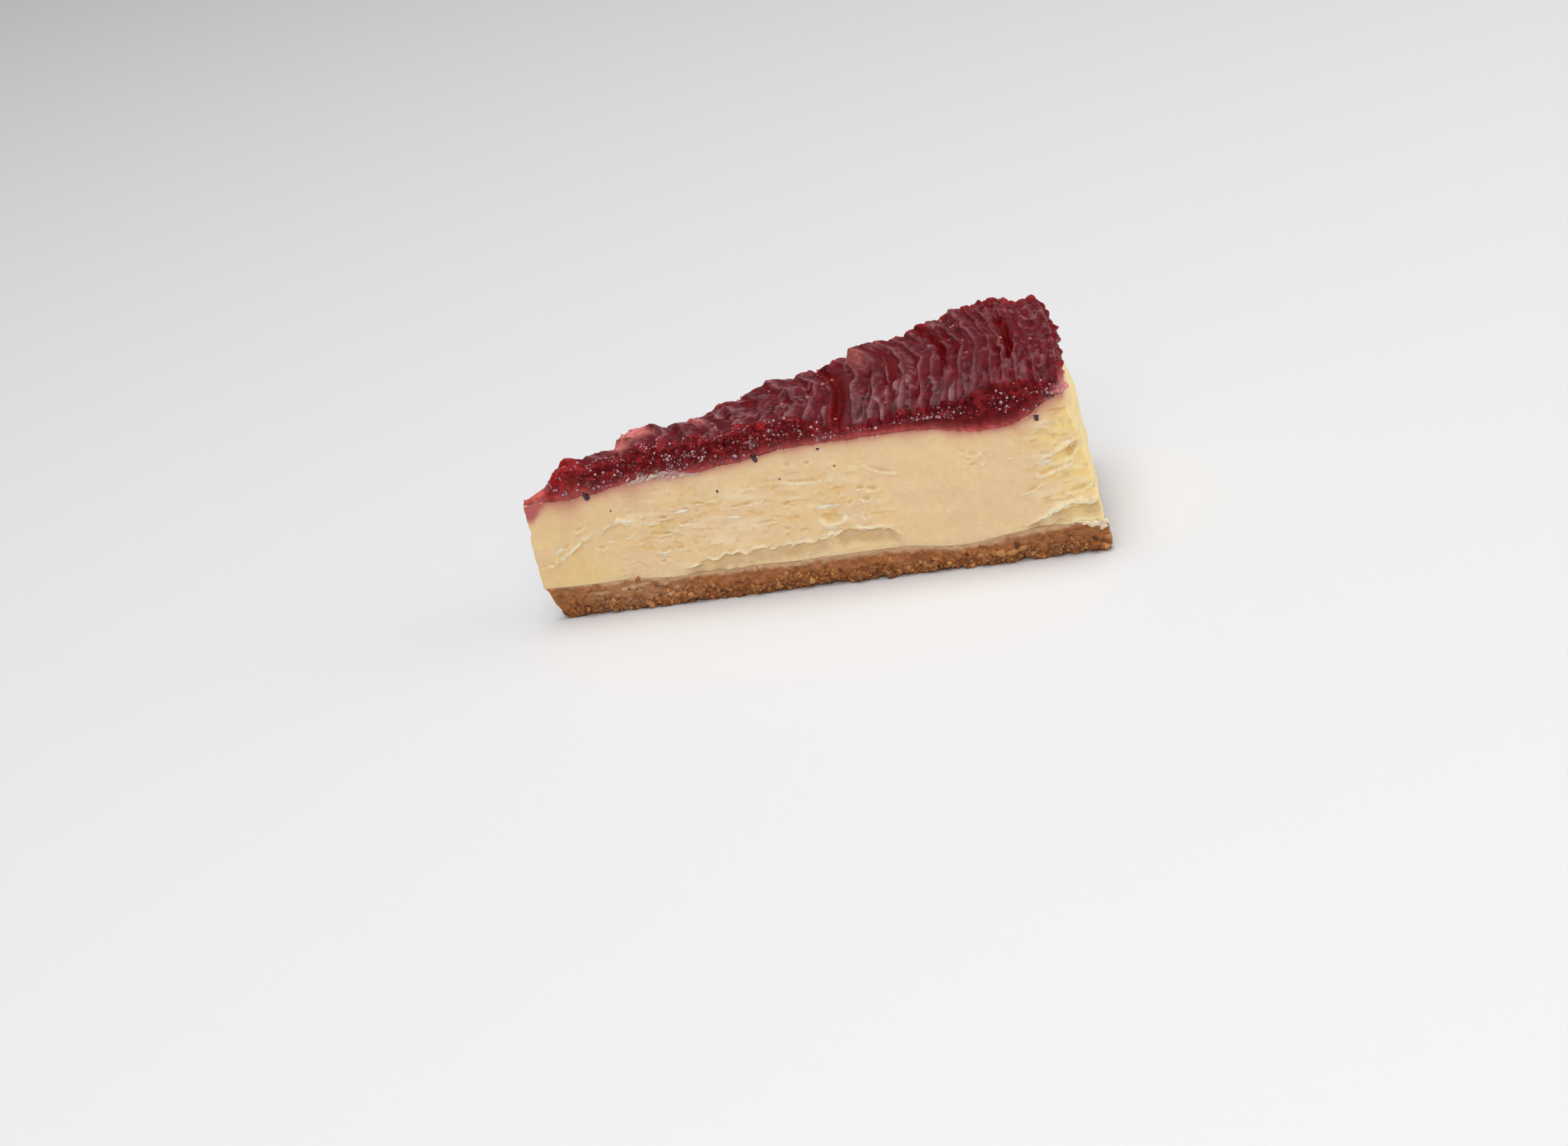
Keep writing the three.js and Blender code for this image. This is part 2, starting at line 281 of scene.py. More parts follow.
@dataclass(frozen=True)
class Wedge:
    """The wedge as it was cut from the round cake, in millimetres."""

    cake_radius: float = 119.3
    angle: float = math.radians(24)
    tip_to_origin: float = 59.6
    tip_radius: float = -0.9
    tip_half_width: float = 0.8
    wall_lean: float = 0.6
    lip_lean: float = 2.2
    corner_flare: float = 2.0
    rim_arc: float = 50.0

    def half_width(self, radius: Array) -> Array:
        """Returns half the wedge's width at a radius."""
        return self.tip_half_width + radius * math.sin(self.angle / 2)

    def inside(self, radius: Array, across: Array) -> Array:
        """Returns how far points lie inside the nearer cut."""
        return 2 * self.half_width(radius) * np.minimum(across, 1 - across)

    def off_middle(self, radius: Array, across: Array) -> Array:
        """Returns how far points lie from the wedge's middle line, towards the back cut."""
        return 2 * self.half_width(radius) * (across - 0.5)

    def point(self, radius: Array, across: Array, z: Array, out_across: Array, out_radial: Array) -> Array:
        """Places points of the slice.

        Args:
            radius: radius from the cake's centre.
            across: share of the way across the wedge.
            z: height.
            out_across: how far the cut faces stand out there. The inside follows less and less.
            out_radial: how far the point is moved out from the cake's centre.

        Returns:
            One row of x, y and z for each point.
        """
        side = 2 * across - 1
        angle = side * self.angle / 2
        reach = radius + out_radial
        shift = np.maximum(out_across, -0.4 * self.half_width(radius)) * np.abs(side) ** 3 * np.sign(side)
        x = reach * np.cos(angle) - shift * np.sin(angle) * side - self.tip_to_origin
        y = reach * np.sin(angle) + side * self.tip_half_width + shift
        return np.stack([x, y, z], axis=-1)

    def lean(self, across: Array, z: Array) -> Array:
        """Returns how far the outer wall leans in at a height."""
        share = 1 - 0.6 * (2 * across - 1) ** 2
        return self.wall_lean * smooth(z, 0, 26) + share * self.lip_lean * smooth(z, 26, 35)

    def flare(self, radius: Array, across: Array, z: Array) -> Array:
        """Returns how far the wall stands out at the rim corners: most low down and at the front cut."""
        corner = bump(across, 0, 0.12) + 0.6 * bump(across, 1, 0.12)
        return self.corner_flare * corner * (1 - smooth(z, 10, 34)) * (radius / self.cake_radius) ** 14

    def axes(self, cut: Cut) -> Array:
        """Works out how a cut face lies.

        Args:
            cut: which of the two cuts.

        Returns:
            The directions along the cut from the tip, out of the cut, and up, as three rows.
        """
        sign = -1.0 if cut is Cut.FRONT else 1.0
        along = (math.cos(self.angle / 2), sign * math.sin(self.angle / 2), 0.0)
        out = (-math.sin(self.angle / 2), sign * math.cos(self.angle / 2), 0.0)
        return np.array([along, out, (0.0, 0.0, 1.0)])


@dataclass
class Shell:
    """The points of a closed layer, in the cake's own terms, and its faces."""

    radius: Array
    across: Array
    up: Array
    faces: Faces


@dataclass
class ShellGrid:
    """A box of grids round a layer, fine where it shows and coarse where another layer covers it."""

    radii: Array
    columns: Array
    rows: Array
    fine_top: bool = False
    hidden_columns: int = 6
    _blocks: list[Array] = field(default_factory=list)
    _count: int = 0

    def _add(self, radius: Array, across: Array, up: Array) -> Array:
        """Adds a block of points.

        Args:
            radius: radius from the cake's centre.
            across: share of the way across the wedge.
            up: share of the way up the layer.

        Returns:
            The points' numbers, in the block's shape.
        """
        block = np.stack(np.broadcast_arrays(radius, across, up), axis=-1)
        self._blocks.append(block.reshape(-1, 3))
        numbers = self._count + np.arange(block[..., 0].size).reshape(block.shape[:-1])
        self._count += numbers.size
        return numbers

    @staticmethod
    def _quads(grid: Array, flip: bool) -> Faces:
        """Joins a grid of points with faces.

        Args:
            grid: the points' numbers, in rows.
            flip: whether the faces are turned over.

        Returns:
            The faces.
        """
        corners = [grid[:-1, :-1], grid[1:, :-1], grid[1:, 1:], grid[:-1, 1:]]
        stack = np.stack([c.ravel() for c in (corners[::-1] if flip else corners)], axis=1)
        return [tuple(row) for row in stack.tolist()]

    def _cap(self, columns: Array, level: int, sides: list[Array], ends: list[Array], flip: bool) -> Faces:
        """Closes the layer above or below.

        Args:
            columns: the numbers of the columns that the cap has.
            level: the first or the last row of the walls.
            sides: the point numbers of the two cut faces.
            ends: the point numbers of the tip and of the rim, with every column.
            flip: whether the cap faces down.

        Returns:
            The cap's faces. Its first and last strips take in every point of the finer walls.
        """
        inner = self._add(self.radii[1:-1, None], self.columns[columns[1:-1]][None, :], self.rows[level])
        grid = np.hstack([sides[0][1:-1, level, None], inner, sides[1][1:-1, level, None]])
        faces = self._quads(grid, flip)
        tip, rim = ends[0][:, level], ends[1][:, level]
        for n, (left, right) in enumerate(zip(columns[:-1], columns[1:])):
            first = [grid[0, n], grid[0, n + 1], *tip[left : right + 1][::-1]]
            last = [grid[-1, n + 1], grid[-1, n], *rim[left : right + 1]]
            for face in (first, last):
                turned = face[::-1] if flip else face
                faces.append(tuple(int(number) for number in turned))
        return faces

    def weave(self) -> Shell:
        """Joins the grids into one closed layer.

        Returns:
            The layer.
        """
        every = np.arange(len(self.columns))
        few = np.unique(np.linspace(0, every[-1], self.hidden_columns + 1).round().astype(int))
        front, back = (
            self._add(self.radii[:, None], self.columns[side], self.rows[None, :]) for side in (0, -1)
        )
        ends = []
        for end in (0, -1):
            inner = self._add(self.radii[end], self.columns[1:-1, None], self.rows[None, :])
            ends.append(np.vstack([front[None, end], inner, back[None, end]]))
        faces = self._quads(front, False) + self._quads(back, True)
        faces += self._quads(ends[0], True) + self._quads(ends[1], False)
        faces += self._cap(few, 0, [front, back], ends, True)
        faces += self._cap(every if self.fine_top else few, -1, [front, back], ends, False)
        radius, across, up = np.vstack(self._blocks).T
        return Shell(radius, across, up, faces)


def spread(low: float, high: float, count: int, ease: float = 0.0) -> Array:
    """Returns steps from low to high, both included.

    Args:
        low: the first step.
        high: the last step.
        count: how many steps there are between them.
        ease: from 0, even steps, to 1, steps that are shortest at both ends.

    Returns:
        The steps.
    """
    even = np.linspace(0.0, 1.0, count + 1)
    return mix(low, high, mix(even, 0.5 - 0.5 * np.cos(math.pi * even), ease))


def ball(level: int) -> tuple[Array, Array]:
    """Makes a round ball of radius 1.

    Args:
        level: how fine it is, from 1.

    Returns:
        Its points, and its triangles as rows of point numbers.
    """
    shape = bmesh.new()
    bmesh.ops.create_icosphere(shape, subdivisions=level, radius=1.0)
    shape.verts.index_update()
    points = np.array([vert.co[:] for vert in shape.verts])
    faces = np.array([[vert.index for vert in face.verts] for face in shape.faces])
    shape.free()
    return points, faces


@dataclass
class Lumps:
    """Many small lumps that are joined into one mesh: crumbs, shreds, seeds and the like."""

    level: int
    ragged: float
    centres: list[Array] = field(default_factory=list)
    frames: list[Array] = field(default_factory=list)
    tones: list[Array] = field(default_factory=list)

    def add(self, centres: Array, axes: Array, sizes: Array, tones: Array) -> None:
        """Adds lumps.

        Args:
            centres: their middles, in millimetres, one row each.
            axes: their three directions, as rows, for each lump or for all.
            sizes: their half sizes along each direction, one row each.
            tones: their shades, from 0 to 1.
        """
        count = len(centres)
        self.centres.append(np.asarray(centres, float))
        self.frames.append(np.broadcast_to(axes, (count, 3, 3)) * np.asarray(sizes, float)[:, :, None])
        self.tones.append(np.broadcast_to(tones, count))

    def mesh(self) -> tuple[Array, Faces, Array]:
        """Joins the lumps.

        Returns:
            The points, the faces and each point's tone.
        """
        shape, triangles = ball(self.level)
        centres, frames = np.vstack(self.centres), np.vstack(self.frames)
        numbers = np.arange(len(centres))[:, None]
        x, y, z = shape.T * 1.6
        crag = noise(x[None] + numbers * 5.3, y[None], z[None])
        body = shape[None] * (1 + self.ragged * crag)[..., None]
        points = centres[:, None, :] + np.einsum("nvk,nkc->nvc", body, frames)
        faces = triangles[None] + numbers[..., None] * len(shape)
        tones = np.repeat(np.concatenate(self.tones), len(shape))
        return points.reshape(-1, 3), [tuple(f) for f in faces.reshape(-1, 3).tolist()], tones

    def build(self, name: str, finish: "SmallPiece", slot: Slot) -> bpy.types.Object:
        """Makes the lumps into one piece.

        Args:
            name: the piece's name.
            finish: what they look like. It reads their tones.
            slot: the record's slot that the finish belongs to; not used.

        Returns:
            The piece.
        """
        points, triangles, tones = self.mesh()
        return add_piece(name, points, triangles, finish.material(), {"tone": tones})


def half_sizes(length: Array, out: Array, height: Array) -> Array:
    """Returns the half sizes of lumps along, out of and up their face, one row each."""
    return np.stack(np.broadcast_arrays(length, out, height), axis=1)


def turned(axes: Array, angles: Array) -> Array:
    """Turns directions in their own face.

    Args:
        axes: the directions along, out of and up a face, as rows, for each lump or for all.
        angles: how far the first and the last are turned towards each other, for each lump.

    Returns:
        Three rows for each angle.
    """
    along, out, up = np.moveaxis(np.broadcast_to(axes, (len(angles), 3, 3)), 1, 0)
    cosine, sine = np.cos(angles)[:, None], np.sin(angles)[:, None]
    return np.stack([along * cosine + up * sine, out, up * cosine - along * sine], axis=1)


# Finishes.

TINT = {"data_type": "RGBA"}
SHADE = {"data_type": "RGBA", "blend_type": "MULTIPLY"}
EASED = {"interpolation_type": "SMOOTHSTEP"}
# The sockets of a Mix node that mixes colours: its share, the two colours and the result.
SHARE, UNDER, OVER, MIXED = 0, 6, 7, 2


@dataclass(frozen=True)
class Mottle:
    """A noise pattern in a material: its real size, the part of it that is used, and what that gives."""

    size_mm: float
    detail: float
    roughness: float
    used: tuple[float, float]
    gives: tuple[float, float]
    eased: bool = False

    def weave(self, tree: Tree, where: Socket) -> tuple[Socket, Socket]:
        """Adds the pattern to a material.

        Args:
            tree: the material's node tree.
            where: the place on the object.

        Returns:
            The bare pattern, for a relief, and what it gives.
        """
        look = {"Scale": per_mm(self.size_mm), "Detail": self.detail, "Roughness": self.roughness}
        pattern = add_node(tree, "TexNoise", {}, {"Vector": where, **look}).outputs[0]
        ends = dict(zip(("From Min", "From Max", "To Min", "To Max"), (*self.used, *self.gives)))
        given = add_node(tree, "MapRange", EASED if self.eased else {}, {"Value": pattern, **ends})
        return pattern, given.outputs[0]


def lay_tints(tree: Tree, colour: Socket | tuple[float, ...], tints: dict[str, str]) -> Socket:
    """Lays tints over a colour, each where a mark of the mesh says so.

    Args:
        tree: the material's node tree.
        colour: the colour underneath.
        tints: the tint that each mark brings, from the lowest to the topmost.

    Returns:
        The colour with its tints.
    """
    for mark, tint in tints.items():
        share = add_node(tree, "Attribute", {"attribute_name": mark}).outputs["Fac"]
        mixed = add_node(tree, "Mix", TINT, {SHARE: share, UNDER: colour, OVER: linear(tint)})
        colour = mixed.outputs[MIXED]
    return colour


def close_material(material: bpy.types.Material, inputs: dict) -> bpy.types.Material:
    """Gives a material its shader.

    Args:
        material: the material that is nearly done.
        inputs: the shader's inputs, as values or as the sockets that feed them.

    Returns:
        The same material, ready for use.
    """
    shader = add_node(material.node_tree, "BsdfPrincipled", {}, inputs)
    add_node(material.node_tree, "OutputMaterial", {}, {"Surface": shader.outputs[0]})
    return material


@dataclass(frozen=True)
class PressedBiscuit:
    """Crushed digestive biscuit bound with butter, pressed into the tin and baked: dry and granular."""

    name: str = "pressed_biscuit_crumb"
    pressed: str = "#A4683B"
    coarse: str = "#9E5B28"
    toasted: str = "#CE9460"
    # Painted shade: the dark brown laid into the crevices and holes between crumbs.
    crevice: str = "#4E2A10"
    residue: str = "#CBA680"
    roughness: float = 0.85
    # Sieved crumb is about 0.3 mm across, too fine to show, so it is drawn at 0.55 mm.
    meal: Mottle = Mottle(0.55, 3.0, 0.6, (0.35, 0.7), (0.66, 1.32))
    # Butter gathers in patches of about 2 mm.
    patch: Mottle = Mottle(1.9, 2.0, 0.5, (0.3, 0.7), (0.66, 1.34))

    def material(self) -> bpy.types.Material:
        """Makes the finish.

        Butter darkens the loose crumb at the bottom, pressing lightens the top, and each crumb has a
        shade of its own, so the eye reads grains even where they lie flush. Crevices and holes between
        the crumbs are painted dark brown as shade. The knife left a thin pale film of cream along the top.

        Returns:
            The material.
        """
        material = new_material(self.name)
        tree = material.node_tree
        where = add_node(tree, "TexCoord").outputs["Object"]
        meal, mealy = self.meal.weave(tree, where)
        _, patchy = self.patch.weave(tree, where)
        grit, grain = (
            add_node(tree, "Attribute", {"attribute_name": mark}).outputs["Fac"] for mark in ("grit", "grain")
        )
        band = add_node(
            tree, "Mix", TINT, {SHARE: grit, UNDER: linear(self.pressed), OVER: linear(self.coarse)}
        ).outputs[MIXED]
        bright = add_node(
            tree, "MapRange", EASED, {"Value": grain, "From Min": 0.58, "From Max": 0.92, "To Max": 0.8}
        ).outputs[0]
        speckled = add_node(
            tree, "Mix", TINT, {SHARE: bright, UNDER: band, OVER: linear(self.toasted)}
        ).outputs[MIXED]
        shade = add_node(tree, "Math", {"operation": "MULTIPLY"}, {0: mealy, 1: patchy}).outputs[0]
        strength = add_node(tree, "MapRange", {}, {"Value": grit, "To Min": 0.5, "To Max": 1.15}).outputs[0]
        shaded = add_node(
            tree, "Mix", {**SHADE, "clamp_factor": False}, {SHARE: strength, UNDER: speckled, OVER: shade}
        ).outputs[MIXED]
        colour = lay_tints(tree, shaded, {"pit": self.crevice, "cream": self.residue})
        relief = add_node(tree, "Bump", {}, {"Strength": 0.5, "Distance": 0.12 * MM, "Height": meal})
        inputs = {
            "Base Color": colour,
            "Roughness": self.roughness,
            "IOR": 1.45,
            "Subsurface Weight": 0.12,
            "Subsurface Radius": (1.0, 0.5, 0.25),
            "Subsurface Scale": 0.7 * MM,
            "Normal": relief.outputs[0],
        }
        return close_material(material, inputs)


@dataclass(frozen=True)
class BakedRicotta:
    """Ricotta cream set in the oven and sliced with a wet knife: dense, satin and a little see-through."""

    name: str = "baked_ricotta_cream"
    cream: str = "#EBCBA0"
    yolk: str = "#F5DA96"
    # Painted shade, darker and yellower, in tears, flakes, pores, cracks and under torn lips; it also lays
    # darker streaks.
    dent: str = "#E5BC74"
    # Painted highlight: the pale laid on torn lips and rolled flake edges; it also lays paler streaks.
    shred: str = "#F8E8C8"
    whey: str = "#D4B487"
    stain: str = "#BE6460"
    roughness: float = 0.5
    # Ricotta's curds are 1 to 2 mm across, and the yolk is marbled through them more widely.
    curd: Mottle = Mottle(1.6, 4.0, 0.55, (0.3, 0.75), (0.95, 1.04))
    marbling: Mottle = Mottle(9.0, 2.0, 0.5, (0.35, 0.7), (0.0, 0.2), eased=True)
    # The cream's own grain is about 0.1 mm, too fine to show, so it is drawn at 0.35 mm.
    grain_mm: float = 0.35

    def material(self) -> bpy.types.Material:
        """Makes the finish.

        Light goes a few millimetres into the cream, which softens every edge. Tears, flakes, pores and
        cracks, and the line under each torn lip, are painted darker and yellower as shade, and the same
        tint lays darker streaks. Torn lips and rolled flake edges get a painted pale highlight among paler
        streaks. The whey sinks to a greenish band above the base, and the jelly's juice soaks into the top.

        Returns:
            The material.
        """
        material = new_material(self.name)
        tree = material.node_tree
        where = add_node(tree, "TexCoord").outputs["Object"]
        curd, curdled = self.curd.weave(tree, where)
        _, veined = self.marbling.weave(tree, where)
        grain = add_node(
            tree, "TexNoise", {}, {"Vector": where, "Scale": per_mm(self.grain_mm), "Detail": 2.0}
        ).outputs[0]
        marbled = add_node(
            tree, "Mix", TINT, {SHARE: veined, UNDER: linear(self.cream), OVER: linear(self.yolk)}
        ).outputs[MIXED]
        marks = ("yolk", "whey", "dent", "shred", "stain")
        colour = lay_tints(tree, marbled, {mark: getattr(self, mark) for mark in marks})
        shaded = add_node(tree, "Mix", SHADE, {SHARE: 1.0, UNDER: colour, OVER: curdled}).outputs[MIXED]
        coarse = add_node(tree, "Bump", {}, {"Strength": 0.35, "Distance": 0.15 * MM, "Height": curd})
        fine = {"Strength": 0.25, "Distance": 0.05 * MM, "Height": grain, "Normal": coarse.outputs[0]}
        relief = add_node(tree, "Bump", {}, fine)
        inputs = {
            "Base Color": shaded,
            "Roughness": self.roughness,
            "IOR": 1.44,
            "Specular IOR Level": 0.4,
            "Subsurface Weight": 0.35,
            "Subsurface Radius": (1.0, 0.62, 0.32),
            "Subsurface Scale": 2.0 * MM,
            "Normal": relief.outputs[0],
        }
        return close_material(material, inputs)


@dataclass(frozen=True)
class BerryGel:
    """Sieved red berries set with gelatine and combed with a spatula: wet, dark and see-through."""

    name: str = "set_berry_jelly"
    body: str = "#5C141B"
    gap: str = "#620306"
    pip: str = "#8C2026"
    # Painted sheen: the pale grey-pink laid on the crests, the spatula's lines and a mottle over the folds.
    crest: str = "#AC8286"
    # The red of juice at the lower edge and over the tip; it also paints a backlit glow along the back cut's
    # edge.
    juice: str = "#981A1F"
    smear: str = "#C6635F"
    # Painted glow: the pink of thin lobes along the back, as if lit from behind.
    glow: str = "#E88A84"
    film: str = "#D9AEB0"
    roughness: float = 0.24
    # Sieved pulp is about 0.5 mm across, too fine to show, so it is drawn at 0.8 mm.
    pulp: Mottle = Mottle(0.8, 3.0, 0.6, (0.3, 0.75), (0.7, 1.3))
    swirl: Mottle = Mottle(2.6, 2.0, 0.5, (0.3, 0.7), (0.7, 1.25))

    def material(self) -> bpy.types.Material:
        """Makes the finish.

        Red light goes further into the gel than any other, so thin edges and the film on the tip glow
        while the body stays dark; the thin lobes along the back and the back cut's edge get a painted
        glow as well. The crests, the spatula's lines and a mottle over the folds get a painted pale sheen,
        and the gaps between them stay deep.

        Returns:
            The material.
        """
        material = new_material(self.name)
        tree = material.node_tree
        where = add_node(tree, "TexCoord").outputs["Object"]
        pulp, pulpy = self.pulp.weave(tree, where)
        _, cloudy = self.swirl.weave(tree, where)
        marks = ("gap", "pip", "crest", "juice", "smear", "glow", "film")
        colour = lay_tints(tree, linear(self.body), {mark: getattr(self, mark) for mark in marks})
        shade = add_node(tree, "Math", {"operation": "MULTIPLY"}, {0: cloudy, 1: pulpy}).outputs[0]
        shaded = add_node(tree, "Mix", SHADE, {SHARE: 1.0, UNDER: colour, OVER: shade}).outputs[MIXED]
        relief = add_node(tree, "Bump", {}, {"Strength": 0.6, "Distance": 0.3 * MM, "Height": pulp})
        inputs = {
            "Base Color": shaded,
            "Roughness": self.roughness,
            "IOR": 1.4,
            "Specular IOR Level": 0.12,
            "Subsurface Weight": 1.0,
            "Subsurface Radius": (1.0, 0.12, 0.1),
            "Subsurface Scale": 1.6 * MM,
            "Normal": relief.outputs[0],
        }
        return close_material(material, inputs)


@dataclass(frozen=True)
class SmallPiece:
    """The finish of a small thing on the slice, shaded from one colour to another from piece to piece."""

    name: str
    dark: str
    light: str
    roughness: float
    ior: float = 1.45
    through_mm: float = 0.5
    coat: float = 0.0
    # The things' own grain is about 0.1 mm, too fine to show, so it is drawn at 0.4 mm.
    speckle: Mottle = Mottle(0.4, 2.0, 0.5, (0.3, 0.7), (0.85, 1.1))

    def material(self) -> bpy.types.Material:
        """Makes the finish: faintly speckled, soft to the light, and wet where it has a coat.

        Returns:
            The material.
        """
        material = new_material(self.name)
        tree = material.node_tree
        where = add_node(tree, "TexCoord").outputs["Object"]
        speckle, speckled = self.speckle.weave(tree, where)
        colour = lay_tints(tree, linear(self.dark), {"tone": self.light})
        shaded = add_node(tree, "Mix", SHADE, {SHARE: 1.0, UNDER: colour, OVER: speckled}).outputs[MIXED]
        relief = add_node(tree, "Bump", {}, {"Strength": 0.3, "Distance": 0.06 * MM, "Height": speckle})
        inputs = {
            "Base Color": shaded,
            "Roughness": self.roughness,
            "IOR": self.ior,
            "Subsurface Weight": 0.4,
            "Subsurface Radius": (1.0, 0.6, 0.4),
            "Subsurface Scale": self.through_mm * MM,
            "Coat Weight": self.coat,
            "Coat Roughness": 0.06,
            "Normal": relief.outputs[0],
        }
        return close_material(material, inputs)


# The three layers.


@dataclass
class BiscuitBase:
    """The pressed crumb layer, thicker under the tip and the rim, with its tip broken back."""

    wedge: Wedge
    thickness: float = 6.7
    radius: float = 119.5
    tip_set_back: float = 0.4
    tip_undercut: float = 3.2
    edge_round: float = 0.8
    crag: float = 0.5
    rim_lift: float = 0.2
    rim_lift_width: float = 3.0
    tucked_in: float = 0.9
    chipped: float = 0.9
    loose_crumb_top: float = 3.3
    steps: tuple[int, int, int] = (520, 180, 30)
    finish: PressedBiscuit = PressedBiscuit()

    def top(self, radius: Array, across: Array) -> Array:
        """Works out the biscuit's upper face, thick at the tip and the rim and pressed in before the rim.

        Args:
            radius: radius from the cake's centre.
            across: share of the way across the wedge.

        Returns:
            Its height.
        """
        thick_tip = 0.8 * (1 - smooth(radius, 16, 30))
        pressed_in = 1.4 * bump(radius, 91, 8) * (1 - across)
        thick_rim = 0.5 * smooth(radius, 98, 110)
        uneven = 0.3 * noise(radius / 11, across * 3, 4.5)
        return self.thickness + thick_tip - pressed_in + thick_rim + uneven

    def looseness(self, radius: Array, across: Array, z: Array) -> Array:
        """Works out where the crumb is coarse and loose, which is at the bottom.

        Args:
            radius: radius from the cake's centre.
            across: share of the way across the wedge.
            z: height.

        Returns:
            1 where it is loose and 0 where it is pressed smooth.
        """
        line = self.loose_crumb_top + 0.9 * noise(radius / 6, across * 6, 3.1)
        line = line + 0.7 * (1 - smooth(radius, 6, 34))
        line = line + 0.8 * noise(radius / 1.6, across * 9, z / 1.4)
        return 1 - 0.9 * smooth(z, line - 1.1, line + 1.0)

    def cream_film(self, radius: Array, across: Array, z: Array) -> Array:
        """Works out the cream that the knife smeared on: a ragged edge at the top and streaks near the tip.

        Args:
            radius: radius from the cake's centre.
            across: share of the way across the wedge.
            z: height.

        Returns:
            How thick it is, from 0 to 1.
        """
        below = self.top(radius, across) - z
        ragged = 0.45 + 0.5 * noise(radius / 2.2, across * 3, 5.5)
        ragged = ragged + 0.25 * noise(radius / 0.7, across, z / 0.5)
        ragged = ragged + 0.65 * plateau(radius, 32, 42, 107, 113)
        edge = 0.9 * (1 - smooth(below, ragged - 0.6, ragged + 0.5))
        streak = smooth(noise(radius / 5, across * 5, (z - radius * 0.05) / 0.5), 0.1, 0.55)
        patchy = smooth(noise(radius / 1.4, across * 7, z / 1.1), -0.3, 0.4)
        near_tip = plateau(radius, 7, 12, 26, 36) * smooth(z, 0.9, 2.2)
        haze = 0.26 * near_tip * smooth(noise(radius / 2.4, across * 5, z / 1.2), -0.5, 0.5)
        return np.clip(edge + haze + (0.8 * near_tip + 0.12) * streak * patchy, 0, 0.85)

    def face_relief(self, along: Array, z: Array, seed: Array) -> tuple[Array, Array, Array]:
        """Works out the crumb of an upright face.

        Args:
            along: distance along the face.
            z: height.
            seed: a number that differs from face to face, for each point or for all.

        Returns:
            How far each grain stands out, how much painted shade the crevices and holes get from 0 to 1,
            and each grain's own shade.
        """
        bent = along + 0.5 * noise(along / 0.9, z / 0.9, seed + 3.5)
        near, next_near, shade = cells(bent / 1.6 + seed * 13.1, z / 1.3 + seed * 3.7, 5.0)
        small, _, small_shade = cells(along / 0.75 + seed * 7.7, z / 0.7, 11.0)
        crevice = 1 - smooth(next_near - near, 0.02, 0.28)
        height = 0.6 * (0.55 - near) * (0.4 + shade) + 0.2 * (0.5 - small) - 0.2 * crevice
        hole = smooth(noise(along / 1.5, z / 1.1, seed + 21.5), 0.4, 0.7)
        return height - 0.6 * hole, np.clip(0.55 * crevice + 0.95 * hole, 0, 1), mix(shade, small_shade, 0.3)

    def place(self, radius: Array, across: Array, up: Array) -> tuple[Array, dict[str, Array]]:
        """Places points of the layer.

        Args:
            radius: radius from the cake's centre.
            across: share of the way across the wedge.
            up: share of the way up the layer.

        Returns:
            The points and the marks that the finish reads.
        """
        lift_start = self.radius - self.rim_lift_width
        lift = self.rim_lift * smooth(radius, lift_start, lift_start + 1) * (1 - (2 * across - 1) ** 8)
        cut = np.round(across)
        inside = self.wedge.inside(radius, across)
        chip = noise(radius / 2.6, cut * 9 + 2.2, 4.4) + 0.5 * noise(radius / 0.9, cut * 5 + 1.1, 8.4)
        chip = self.chipped * smooth(chip, -0.05, 0.6) * (1 - smooth(inside, 0.1, 0.9)) * smooth(radius, 1, 5)
        z = mix(np.maximum(lift, chip), self.top(radius, across), up)
        coarse = noise(radius * 0.62, cut * 9, z * 0.7)
        fine = noise(radius * 1.3, cut * 17 + 5, z * 1.4)
        near_tip = 1 - smooth(radius, 0, 9)
        worn = (1 - smooth(z, 0, 1.8)) * (0.9 + 0.6 * noise(radius / 3, cut, 7)) * (1 + 0.8 * near_tip)
        at_rim = radius >= self.radius - NEAR
        on_cut = (across < NEAR) | (across > 1 - NEAR)
        loose = self.looseness(radius, across, z)
        clustered = smooth(noise(radius / 4, across * 9, z / 3), -0.4, 0.4)
        strength = 0.5 + 0.5 * loose
        grains, pit, shade = self.face_relief(radius, z, cut)
        rim_grains, rim_crevice_shade, rim_shade = self.face_relief(across * self.wedge.rim_arc, z, 5.0)
        out = self.crag * strength * (coarse + 0.45 * fine) + strength * grains - self.edge_round * worn
        rim_crag = self.crag * strength * noise(across * 14, 3.5, z * 0.7) + strength * rim_grains
        undercut = self.tip_undercut * (1 - up) * (1 - smooth(radius, 0, 10))
        undercut = undercut + near_tip * (0.35 * noise(z / 1.3, across, 2.5) + 0.5 * (1 - smooth(z, 0, 1.2)))
        top_edge = smooth(up, 0.75, 1) * smooth(across, 0, 0.04)
        tucked = self.tucked_in * np.maximum(smooth(across, 0.02, 0.14), top_edge)
        wall = at_rim * (rim_crag - self.edge_round * worn - tucked) + self.wedge.flare(radius, across, z)
        points = self.wedge.point(radius, across, z, out, undercut + wall)
        marks = {
            "grit": loose,
            # The crevice mark paints shade into the crevices and holes between crumbs.
            "pit": np.where(on_cut, pit, rim_crevice_shade) * (0.15 + 0.85 * loose) * (up < 0.97),
            "grain": np.where(on_cut, shade, rim_shade) * (0.45 + 0.55 * loose * clustered),
            "cream": self.cream_film(radius, across, z),
        }
        return points, marks

    def build(self) -> bpy.types.Object:
        """Builds the layer, which stands for the part's biscuit.

        Returns:
            The layer.
        """
        radii = spread(self.wedge.tip_radius + self.tip_set_back, self.radius, self.steps[0])
        shell = ShellGrid(radii, spread(0, 1, self.steps[1]), spread(0, 1, self.steps[2])).weave()
        points, marks = self.place(shell.radius, shell.across, shell.up)
        finish = self.finish.material()
        piece = add_piece("biscuit_crumb_layer", points, shell.faces, finish, marks)
        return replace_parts(piece, "biscuit_base")


